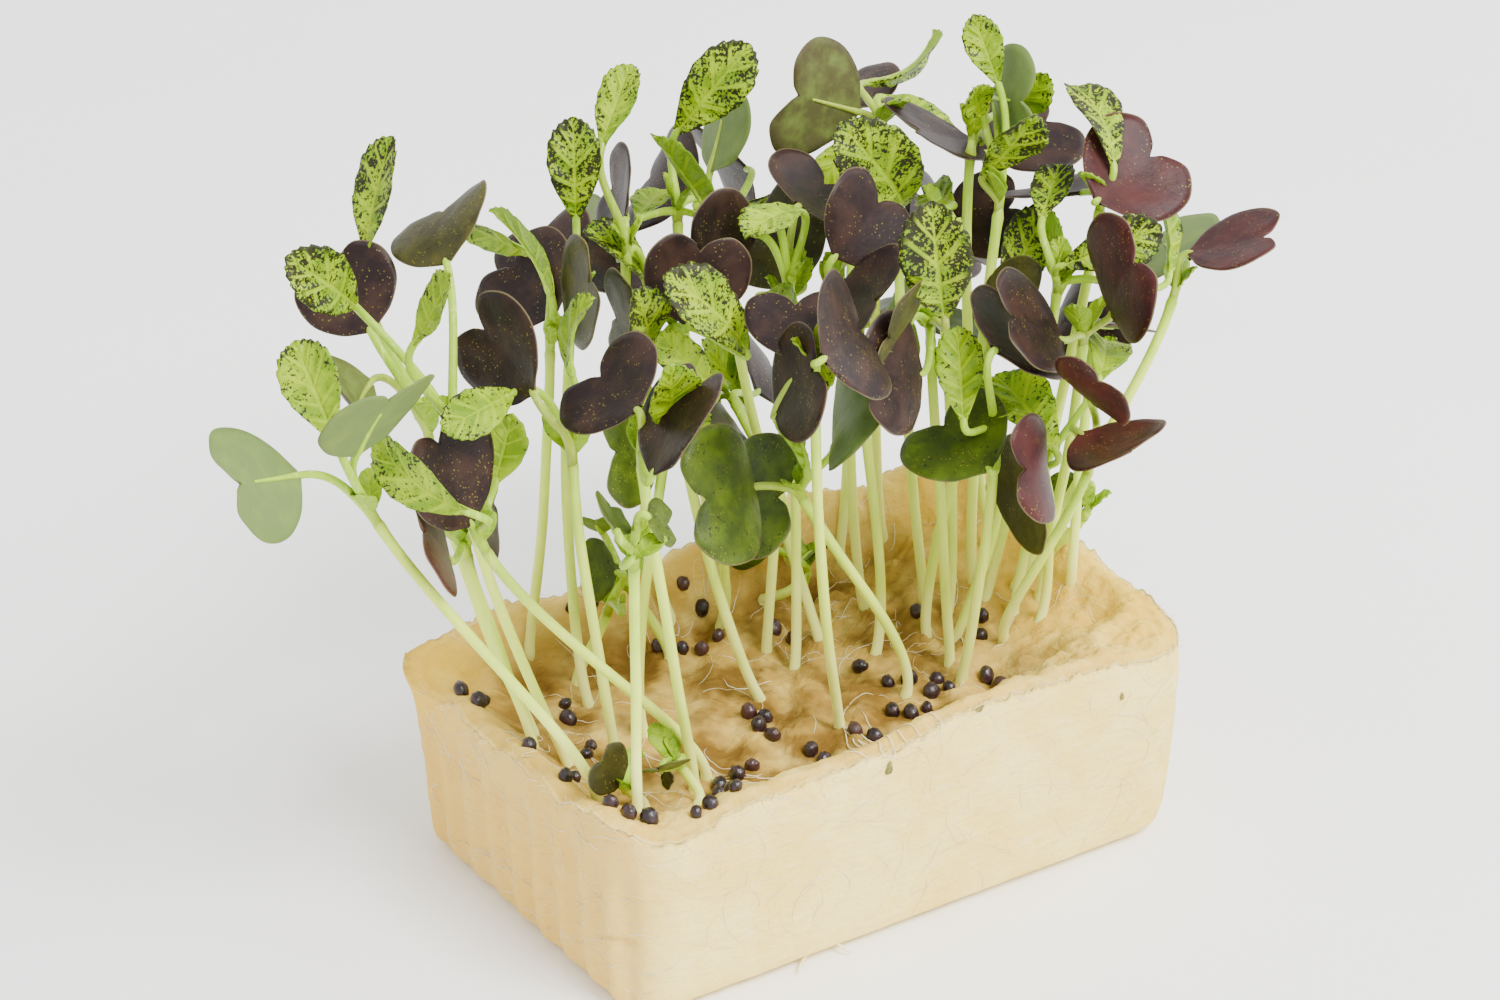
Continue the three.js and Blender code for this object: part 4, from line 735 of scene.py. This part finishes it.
def hanging_roots(material, walls, normals):
    """Roots that hang over the front rim, and rootlets that poke out under the base."""
    skin = Skin()
    for x, length in HANGING_ROOTS:
        at = (x + STRAIGHT_X) / OUTLINE_PITCH
        down = -1.2 + draws.gauss(0, 0.5)
        over = wall_thread(walls, normals, at, WALL_ROWS - 1.2, down, length, (0.02, 0.2))
        root = min(PLANTS, key=lambda plant: math.dist(plant[0], (x, -20)))[0]
        inner = []
        for share in np.linspace(0, 0.92, 7):
            px = root[0] + (x - root[0]) * share + draws.gauss(0, 0.25)
            py = root[1] + (over[0][1] + 0.8 - root[1]) * share
            inner.append((px, py, pulp(px, py)[0] + 0.15))
        line = spline(inner + over, 40)
        tube(skin, line, np.interp(np.linspace(0, 1, 40), [0, 0.1, 0.8, 1], [0.06, 0.1, 0.09, 0.03]), 5)
    for x, reach, rise in ROOTLETS:
        t = np.linspace(0, 1, len(ROOTLET_TAPER))
        across = x + reach * t + 0.5 * np.sin(5 * t)
        path = np.column_stack([across, 5 - HALF_WIDTH - 4.5 * t, 0.5 + rise * np.sin(np.pi * t)])
        tube(skin, path, 0.28 * ROOTLET_TAPER, 7)
    skin.piece("hanging_roots", material)


def flakes(material, walls, normals):
    """Small dry flakes of leaf and coat stuck high on the front wall."""
    skin = Skin()
    for x, share, size in FLAKES:
        at = (x + STRAIGHT_X) / OUTLINE_PITCH
        centre = wall_point(walls, normals, at, share * WALL_ROWS, 0.12)
        turn = uniform(0, 3)
        a = np.linspace(0, 2 * np.pi, FLAKE_SIDES, endpoint=False)
        r = size * (1 + 0.2 * np.sin(3 * a + turn))
        u = r * np.cos(a)
        v = 0.55 * r * np.sin(a)
        across = u * cos(turn) - v * sin(turn)
        rise = u * sin(turn) + v * cos(turn)
        rings = [np.column_stack([across, 0 * a - depth, rise]) for depth in FLAKE_DEPTHS]
        ends = [tuple(range(FLAKE_SIDES)), tuple(range(2 * FLAKE_SIDES - 1, FLAKE_SIDES - 1, -1))]
        faces = ends + flipped(grid_faces(2, FLAKE_SIDES, True))
        skin.add(centre + np.vstack(rings), faces, tone=draws.random())
    skin.piece("dry_flakes", material)


# Stems and leaves

def stem_controls(root, crown, bow):
    foot = np.array([*root, float(top_height(*root))])
    crown = np.array(crown, float)
    bow = np.array([*bow, 0]) * BOW_SHARE
    length = np.linalg.norm(crown - foot)
    low = foot + UP * min(UPRIGHT_SHARE * length, UPRIGHT_LIMIT) + bow
    lean = unit((crown - foot) / length + UP * TOP_LIFT)
    return foot, low, crown - lean * TOP_SHARE * length + bow, crown


def stem_into(skin, controls):
    t = np.linspace(0, 1, STEM_STEPS)
    path = bezier(*controls, t)
    seed = uniform(0, 90)
    kink = np.array([noise.noise_vector(Vector((seed, k * 2.3, 0))) for k in t])
    path = path + STEM_KINK * kink * np.sin(np.pi * t)[:, None]
    path = np.vstack([path[0] - UP * FOOT_DEPTH, path])
    t = np.concatenate([[0], t])
    radii = np.interp(t, [0, 1], STEM_RADIUS)
    radii = radii * (1 + 0.05 * np.array([noise.noise(Vector((seed, k * 5, 7))) for k in t]))
    radii = radii * (1 + 0.14 * smooth(0.06, 0, t) + 0.18 * smooth(0.93, 0.99, t))
    radii[-1] *= 0.55
    tube(skin, path, radii, STEM_SIDES, along=t, tone=draws.random())


def blade_frame(crown, leaf):
    """Where a blade starts, its length, the way it points, the way it faces and its side."""
    _, stalk, blade, roll, _ = leaf
    ahead = np.array(blade, float)
    length = np.linalg.norm(ahead)
    ahead /= length
    face = unit(UP - ahead * UP.dot(ahead))
    angle = math.radians(roll)
    face = face * cos(angle) + np.cross(ahead, face) * sin(angle)
    return np.array(crown, float) + stalk, length, ahead, face, np.cross(ahead, face)


def midrib(blade, curl, u):
    """Points, face directions and headings of the midrib at shares u of its length."""
    base, length, ahead, face, _ = blade
    k = math.radians(curl or 1)
    radius = length / (2 * sin(k / 2))
    a = k * (np.asarray(u, float) - 0.5)
    points = base + np.outer(radius * (sin(k / 2) + np.sin(a)), ahead)
    points = points + np.outer(radius * (np.cos(a) - cos(k / 2)), face)
    faces = np.outer(np.cos(a), face) + np.outer(np.sin(a), ahead)
    heads = np.outer(np.cos(a), ahead) - np.outer(np.sin(a), face)
    return points, faces, heads


def toothed_outline(kind):
    """The right half of a leaf's margin, with its teeth."""
    line = spline(kind.outline, LEAF_ALONG)
    share = np.linspace(0, 1, LEAF_ALONG)
    if kind.teeth:
        turn = (share * kind.teeth) % 1
        saw = np.where(turn < 0.75, turn / 0.75, (1 - turn) / 0.25) - 0.5
        size = kind.tooth * smooth(0.12, 0.4, share) * smooth(1.02, 0.9, share)
        line[:, 1] *= 1 + size * saw
        line[:, 0] += 0.25 * size * saw
    line[-1, 1] = 0
    return line, share


def two_skins(rows, columns):
    """Faces of two grids, one above the other, joined along their last column."""
    count = rows * columns
    quads = grid_faces(rows, columns, False)
    below = [tuple(i + count for i in quad) for quad in quads]
    margin = range(columns - 1, count, columns)
    rim = [(a, b, b + count, a + count) for a, b in zip(margin, margin[1:])]
    return flipped(quads) + below + rim


def leaf_into(skin, blade, curl, kind, tone):
    """One blade: upper and lower skins that meet along the margin."""
    half = kind.half * blade[1]
    line, share = toothed_outline(kind)
    across = np.linspace(0, 1, LEAF_ACROSS + 1)
    middle = line[-1, 0] * share**1.2
    u = (middle[:, None] + (line[:, 0] - middle)[:, None] * across).ravel()
    w = np.outer(line[:, 1], across).ravel()
    along = np.repeat(share, len(across))
    inner = np.tile(across, len(share))
    points, ups, _ = midrib(blade, curl, u)
    seed = uniform(0, 60)
    fold = kind.fold * half
    pucker = np.cos(2 * np.pi * kind.veins * along) * np.sin(np.pi * inner) * kind.teeth / 9
    lift = ups * (kind.thick / 2 * (1 - 0.75 * inner**5))[:, None]
    faces = two_skins(len(share), len(across))
    for sign in (-1, 1):
        rise = (np.sqrt(w**2 + 0.01) - 0.1) * (fold + kind.wave * np.sin(9 * u + sign))
        ripple = [noise.noise(Vector((seed, a * 6, b * 2 * sign))) for a, b in zip(along, inner)]
        rise = rise - PUCKER * pucker + RIPPLE * np.array(ripple) * inner**2
        rise = rise + 0.1 * fold * np.sin(7 * along + seed) * inner**3
        centre = points + np.outer(sign * w * half, blade[4]) + ups * rise[:, None]
        skin.add(np.vstack([centre + lift, centre - lift]), faces if sign > 0 else flipped(faces),
                 along=np.tile(along, 2), across=np.tile(inner, 2),
                 upper=np.repeat([1.0, 0.0], len(along)), tone=tone)


def stalk_into(skin, crown, stem_end, blade, curl, kind, tone):
    """The stalk, which goes on under the blade as its midrib."""
    base = blade[0]
    _, _, heads = midrib(blade, curl, [0.0])
    gap = np.linalg.norm(base - crown)
    out = unit(unit(base - crown) + stem_end)
    path = bezier(crown, crown + out * STALK_EASE * gap, base - heads[0] * STALK_EASE * gap, base,
                  np.linspace(0, 1, STALK_STEPS))
    path = np.vstack([crown - stem_end * STALK_SINK, path[1:]])
    shares = np.linspace(0, kind.rib, 14)[1:]
    rib, ups, _ = midrib(blade, curl, shares)
    path = np.vstack([path, rib - ups * RIB_SINK])
    t = np.concatenate([np.linspace(0, 1, STALK_STEPS), 1 + shares])
    radii = np.interp(t, STALK_PLACES, STALK_RADII)
    tube(skin, path, radii, STALK_SIDES, flat=0.9, along=1 + t / 2, tone=tone)


def bud_into(skin, crown, stem_end, side):
    """One of the two small leaves just opening at a crown."""
    reach = uniform(*BUD_REACH)
    turn = uniform(0, 2 * math.pi)
    aside = np.array([cos(turn), sin(turn), 0]) * side
    blade = unit(stem_end + aside * uniform(0.35, 0.9)) * reach
    leaf = ("young", tuple(stem_end * 0.5 + aside * 0.35), tuple(blade), uniform(-25, 25), 25)
    leaf_into(skin, blade_frame(crown, leaf), leaf[4], YOUNG_LEAF, draws.random())


def plant_pieces(number, plant, materials):
    root, crown, bow, leaves = plant
    node = f"plant_{number:02d}"
    controls = stem_controls(root, crown, bow)
    stem_end = unit(controls[3] - controls[2])
    stems = Skin()
    stem_into(stems, controls)
    blades = {}
    for leaf in leaves:
        kind = TRUE_KINDS.get(leaf[0], SEED_LEAF)
        blade = blade_frame(crown, leaf)
        tone = draws.random()
        stalk_into(stems, controls[3], stem_end, blade, leaf[4], kind, tone)
        leaf_into(blades.setdefault(leaf[0], Skin()), blade, leaf[4], kind, tone)
    for side in (1, -1) if len(leaves) > 1 else ():
        bud_into(blades.setdefault("young", Skin()), controls[3], stem_end, side)
    stems.piece(f"{node}_stem", materials["stem"], node, "young_plant")
    for word, skin in blades.items():
        skin.piece(f"{node}_{word}_leaves", materials[word], node, "young_plant")


# Materials

class Nodes:
    """A material's node tree, built by short calls."""

    def __init__(self, name, roughness, specular, bleed=0.0, spread=(0.001,) * 3, coat=0.0):
        self.material = bpy.data.materials.new(name)
        self.material.use_nodes = True
        self.tree = self.material.node_tree
        self.shader = self.tree.nodes["Principled BSDF"]
        self.plug(self.shader, {
            "Roughness": roughness, "Specular IOR Level": specular, "Subsurface Weight": bleed,
            "Subsurface Radius": spread, "Subsurface Scale": 1.0,
            "Coat Weight": coat, "Coat Roughness": 0.25})
        self.place = self.node("TexCoord", {}).outputs["Object"]

    def plug(self, node, inputs):
        for name, value in inputs.items():
            if isinstance(value, bpy.types.NodeSocket):
                self.tree.links.new(value, node.inputs[name])
            else:
                node.inputs[name].default_value = value

    def node(self, kind, inputs, **settings):
        node = self.tree.nodes.new(f"ShaderNode{kind}")
        for name, value in settings.items():
            setattr(node, name, value)
        self.plug(node, inputs)
        return node

    def value(self, name):
        return self.node("Attribute", {}, attribute_name=name).outputs["Fac"]

    def noise(self, size, detail=3.0, rough=0.6, stretch=(1, 1, 1)):
        """Noise with features of about size millimetres."""
        place = self.node("Mapping", {"Vector": self.place, "Scale": stretch}).outputs["Vector"]
        inputs = {"Vector": place, "Scale": 1 / (size * MM), "Detail": detail, "Roughness": rough}
        return self.node("TexNoise", inputs).outputs["Fac"]

    def cells(self, size):
        inputs = {"Vector": self.place, "Scale": 1 / (size * MM)}
        return self.node("TexVoronoi", inputs).outputs["Distance"]

    def math(self, kind, a, b=0.0):
        return self.node("Math", {0: a, 1: b}, operation=kind).outputs[0]

    def times(self, a, b):
        return self.math("MULTIPLY", a, b)

    def step(self, x, low, high, out_low=0.0, out_high=1.0):
        """x turned smoothly from out_low at low to out_high at high."""
        inputs = {"Value": x, "From Min": low, "From Max": high, "To Min": out_low, "To Max": out_high}
        return self.node("MapRange", inputs, interpolation_type="SMOOTHSTEP").outputs["Result"]

    def mix(self, share, a, b):
        return self.node("Mix", {0: share, 6: a, 7: b}, data_type="RGBA").outputs[2]

    def bump(self, height, distance, strength):
        """Adds a bump; distance is its depth in millimetres."""
        inputs = {"Height": height, "Strength": strength, "Distance": distance * MM}
        bump = self.node("Bump", inputs)
        last = self.shader.inputs["Normal"]
        if last.is_linked:
            self.plug(bump, {"Normal": last.links[0].from_socket})
        self.plug(self.shader, {"Normal": bump.outputs["Normal"]})

    def finish(self, colour):
        self.plug(self.shader, {"Base Color": colour})
        return self.material


def tint(hexcode):
    """A colour as the eye sees it, turned into the renderer's linear one."""
    parts = [int(hexcode[i:i + 2], 16) / 255 for i in (1, 3, 5)]
    return (*[((c + 0.055) / 1.055) ** 2.4 if c > 0.04 else c / 12.92 for c in parts], 1.0)


CREAM = tint("#FEE68C")
CREAM_SHADE = tint("#F5D672")
TAN = tint("#DDB450")
# Painted shade low in the hollow
HOLLOW_SHADE = tint("#76561E")
# Painted glow through the thin back left corner, and the right shelf's own yellow
AMBER = tint("#F0C02E")
# Painted shade for the wall's left end
PAINTED_END_SHADE = tint("#DCAE52")
STEM_PALE = tint("#EAF08A")
STEM_LIME = tint("#CDE150")
STEM_TOP = tint("#A4C822")
STALK_GREEN = tint("#93B61C")
LIME = tint("#8EA800")
LIME_DARK = tint("#668600")
LIME_VEIN = tint("#A8C010")
LIME_BACK = tint("#84A61E")
SPECK = tint("#190B10")
GREY_BACK = tint("#748A3A")
PALE_EDGE = tint("#7A6A4C")
FLECK = tint("#9A9030")
# Seed leaves: upper colour, a second upper colour, underside
SEED_KINDS = {
    "purple": ("#1C0F10", "#332019", "#4C4A2A"),
    "red": ("#2F1011", "#431B18", "#5A4A30"),
    "olive": ("#2C2A10", "#423F12", "#566026"),
    "green": ("#2E3C08", "#485A0A", "#647F24"),
    "grey": ("#4E6128", "#5C7034", "#5F723C"),
}
# True leaves: the level above which they are speckled
SPECKLE_LEVELS = {"speckled": 0.61, "lime": 0.72, "young": 0.8}


def fibre_material():
    m = Nodes("growing_fibre", 0.85, 0.12, 0.12, (0.004, 0.0028, 0.0014))
    clouds = m.noise(14, 3)
    grain = m.noise(1.1, 4, 0.7)
    strands = m.noise(1.6, 4, 0.65, (0.35, 0.35, 1.6))
    wall = m.mix(m.step(clouds, 0.35, 0.68), CREAM, CREAM_SHADE)
    wall = m.mix(m.step(strands, 0.52, 0.72, 0, 0.35), wall, tint("#FDF0B8"))
    wall = m.mix(m.step(grain, 0.58, 0.74, 0, 0.4), wall, TAN)
    floor = m.mix(m.step(m.noise(5, 4), 0.35, 0.7), TAN, tint("#EFCF70"))
    # Painted shade: darker brown, in patches, where the top lies low in the hollow
    deep = m.times(m.value("depth"), m.step(m.noise(9, 3), 0.35, 0.62, 0.35, 1.0))
    floor = m.mix(deep, floor, HOLLOW_SHADE)
    # Painted shade on the left end of the outer wall
    wall = m.mix(m.times(m.value("end"), 0.7), wall, PAINTED_END_SHADE)
    colour = m.mix(m.value("inside"), wall, floor)
    # Painted glow through the thin wall at the back left corner, and the right shelf's own yellow
    colour = m.mix(m.step(m.value("amber"), 0.2, 0.95, 0, 0.75), colour, AMBER)
    m.bump(strands, 0.6, 0.7)
    m.bump(grain, 0.4, 0.8)
    return m.finish(colour)


def husk_material():
    m = Nodes("seed_husk", 0.3, 0.4, coat=0.2)
    colour = m.mix(m.step(m.noise(0.9), 0.4, 0.7), tint("#1B1013"), tint("#3A2228"))
    colour = m.mix(m.step(m.value("tone"), 0.6, 1.0, 0, 0.5), colour, tint("#53322B"))
    m.bump(m.cells(0.22), 0.06, 0.6)
    return m.finish(colour)


def two_tone(name, bleed, size, one, other):
    """A material that drifts between two colours over about size millimetres."""
    m = Nodes(name, 0.6, 0.3, bleed)
    return m.finish(m.mix(m.step(m.noise(size), 0.35, 0.65), tint(one), tint(other)))


def stem_material():
    m = Nodes("young_stem", 0.42, 0.28, 0.3, (0.0016, 0.0016, 0.0008))
    along = m.value("along")
    wobble = m.math("ADD", along, m.step(m.noise(12, 2), 0.3, 0.7, -0.12, 0.12))
    colour = m.mix(m.step(wobble, 0.0, 0.55), STEM_PALE, STEM_LIME)
    colour = m.mix(m.step(wobble, 0.6, 1.05), colour, STEM_TOP)
    colour = m.mix(m.step(along, 1.02, 1.3), colour, STALK_GREEN)
    streaks = m.noise(0.5, 3, 0.6, (1, 1, 0.06))
    colour = m.mix(m.step(streaks, 0.5, 0.75, 0, 0.35), colour, STEM_PALE)
    blush = m.times(m.step(m.value("tone"), 0.75, 1.0, 0, 0.3), m.step(along, 0.7, 1.1))
    colour = m.mix(blush, colour, tint("#8A5F55"))
    m.bump(streaks, 0.12, 0.5)
    return m.finish(colour)


def leaf_lines(m, veins):
    """Shares for the leaf's midrib and side veins, from the values along and across it."""
    across = m.value("across")
    rib = m.step(across, 0.03, 0.11, 1, 0)
    turn = m.math("FRACT", m.times(m.value("along"), float(veins)))
    off = m.math("ABSOLUTE", m.math("SUBTRACT", turn, 0.5))
    vein = m.step(off, 0.06, 0.15, 1, 0)
    vein = m.times(vein, m.step(across, 0.65, 0.95, 1, 0))
    return m.math("MAXIMUM", rib, vein)


def seed_leaf_material(name, colours):
    top, second, back = (tint(c) for c in colours)
    m = Nodes(f"{name}_seed_leaf", 0.5, 0.2, 0.1, (0.0006, 0.0008, 0.0003))
    upper = m.value("upper")
    across = m.value("across")
    clouds = m.noise(4, 3)
    colour = m.mix(m.step(clouds, 0.35, 0.7), top, second)
    veins = m.times(leaf_lines(m, SEED_LEAF.veins), m.step(m.noise(2.5), 0.35, 0.7, 0, 0.07))
    colour = m.mix(veins, colour, back)
    if name in ("green", "olive"):
        specks = m.step(m.noise(0.5, 3), 0.58, 0.64, 0, 0.75)
        colour = m.mix(m.times(specks, m.step(m.noise(3, 2), 0.4, 0.6, 0.2, 1)), colour, SPECK)
    flecks = m.step(m.cells(0.5), 0.0, 0.26, 1, 0)
    flecks = m.times(flecks, m.step(m.noise(3.5, 2), 0.44, 0.58, 0, 0.8))
    colour = m.mix(flecks, colour, FLECK)
    colour = m.mix(m.step(across, 0.965, 1.0, 0, 0.55), colour, PALE_EDGE)
    under = m.mix(m.step(m.noise(3), 0.4, 0.75, 0, 0.5), back, GREY_BACK)
    under = m.mix(m.step(across, 0.6, 1.0, 0, 0.45), under, second)
    m.bump(m.noise(0.35, 2), 0.05, 0.5)
    m.bump(clouds, 0.5, 0.35)
    m.plug(m.shader, {"Roughness": m.step(upper, 0, 1, 0.6, 0.46)})
    return m.finish(m.mix(upper, under, colour))


def true_leaf_material(name, speckled):
    m = Nodes(f"{name}_true_leaf", 0.48, 0.2, 0.15, (0.0006, 0.0010, 0.0003))
    upper = m.value("upper")
    across = m.value("across")
    lines = leaf_lines(m, TRUE_LEAF.veins)
    green = m.mix(m.step(m.noise(3.5, 3), 0.35, 0.65), LIME, LIME_DARK)
    green = m.mix(m.times(lines, 0.35), green, LIME_VEIN)
    reach = m.math("ADD", m.times(across, 0.13), m.times(m.value("along"), 0.07))
    patch = m.step(m.noise(3, 2), 0.35, 0.65, -0.06, 0.06)
    amount = m.math("ADD", m.math("ADD", reach, patch), m.times(m.value("tone"), 0.04))
    dots = m.math("ADD", m.noise(0.42, 3, 0.6), amount)
    dots = m.step(dots, speckled, speckled + 0.03)
    dots = m.times(dots, m.math("SUBTRACT", 1.0, m.times(lines, 0.8)))
    edge = m.times(m.step(across, 0.94, 1.0), m.step(m.noise(1.5), 0.4, 0.6))
    spots = m.math("MAXIMUM", dots, m.times(edge, 0.8))
    colour = m.mix(m.times(spots, 0.95), green, SPECK)
    under = m.mix(m.times(lines, 0.6), LIME_BACK, LIME_VEIN)
    under = m.mix(m.times(spots, 0.3), under, SPECK)
    m.bump(lines, 0.25, 0.5)
    m.bump(m.noise(0.5, 2), 0.12, 0.5)
    return m.finish(m.mix(upper, under, colour))


def all_materials():
    materials = {name: seed_leaf_material(name, colours) for name, colours in SEED_KINDS.items()}
    for name, speckled in SPECKLE_LEVELS.items():
        materials[name] = true_leaf_material(name, speckled)
    materials["stem"] = stem_material()
    return materials


# Floor, light and camera

CAMERA_TARGET = np.array([-7.5, 0, 51.3])
CAMERA_AZIMUTH = -33.3
CAMERA_RISE = 29.0
CAMERA_DISTANCE = 600
CAMERA_LENS = 115.2
# In metres and watts; each light has a name, a place, a size and a power
FLOOR_REACH = 3
LIGHTS = [("key", (0.15, -0.7, 0.9), 0.5, 24.0), ("fill", (0.9, -0.1, 0.45), 0.6, 5.0)]
LIGHTS_AIM = (0, 0, 0.04)
SKY_STRENGTH = 1.65


def floor_and_light():
    material = Nodes("pale_floor", 0.9, 0.2)
    white = material.mix(material.noise(60), tint("#FDFDFC"), tint("#F8F8F7"))
    mesh = bpy.data.meshes.new("floor")
    corners = [(x * FLOOR_REACH, y * FLOOR_REACH, 0) for x, y in CORNERS]
    mesh.from_pydata(corners, [], [(0, 1, 2, 3)])
    mesh.materials.append(material.finish(white))
    floor = placed("floor", mesh)
    world = bpy.data.worlds.new("studio")
    world.use_nodes = True
    sky = world.node_tree.nodes["Background"].inputs
    sky["Color"].default_value = (1, 1, 1, 1)
    sky["Strength"].default_value = SKY_STRENGTH
    bpy.context.scene.world = world
    for name, place, size, power in LIGHTS:
        light = bpy.data.lights.new(name, "AREA")
        light.size = size
        light.energy = power
        lamp = placed(name, light)
        lamp.location = place
        aim = Vector(LIGHTS_AIM) - lamp.location
        lamp.rotation_euler = aim.to_track_quat("-Z", "Y").to_euler()


def camera():
    azimuth = math.radians(CAMERA_AZIMUTH)
    rise = math.radians(CAMERA_RISE)
    level = cos(rise)
    back = np.array([sin(azimuth) * level, -cos(azimuth) * level, sin(rise)])
    data = bpy.data.cameras.new("camera")
    data.lens = CAMERA_LENS
    data.sensor_width = 36
    data.clip_start = 0.01
    body = placed("camera", data)
    body.location = (CAMERA_TARGET + back * CAMERA_DISTANCE) * MM
    body.rotation_euler = (math.pi / 2 - rise, 0, azimuth)
    bpy.context.scene.camera = body


camera()
floor_and_light()
outline, outward = outline_ring()
wall_grid, rim_line = wall_rows(outline, outward)
block_piece(fibre_material(), outline, outward, wall_grid, rim_line)
husk_pieces(husk_material())
pale_thread = two_tone("root_thread", 0.3, 3, "#F7EDC4", "#E2C98A")
root_threads(pale_thread)
wall_fibres(pale_thread, wall_grid, outward)
hanging_roots(pale_thread, wall_grid, outward)
flakes(two_tone("dry_flake", 0.0, 0.8, "#6B6A2C", "#A08A4A"), wall_grid, outward)
plant_materials = all_materials()
for plant_number, plant_row in enumerate(PLANTS, 1):
    plant_pieces(plant_number, plant_row, plant_materials)
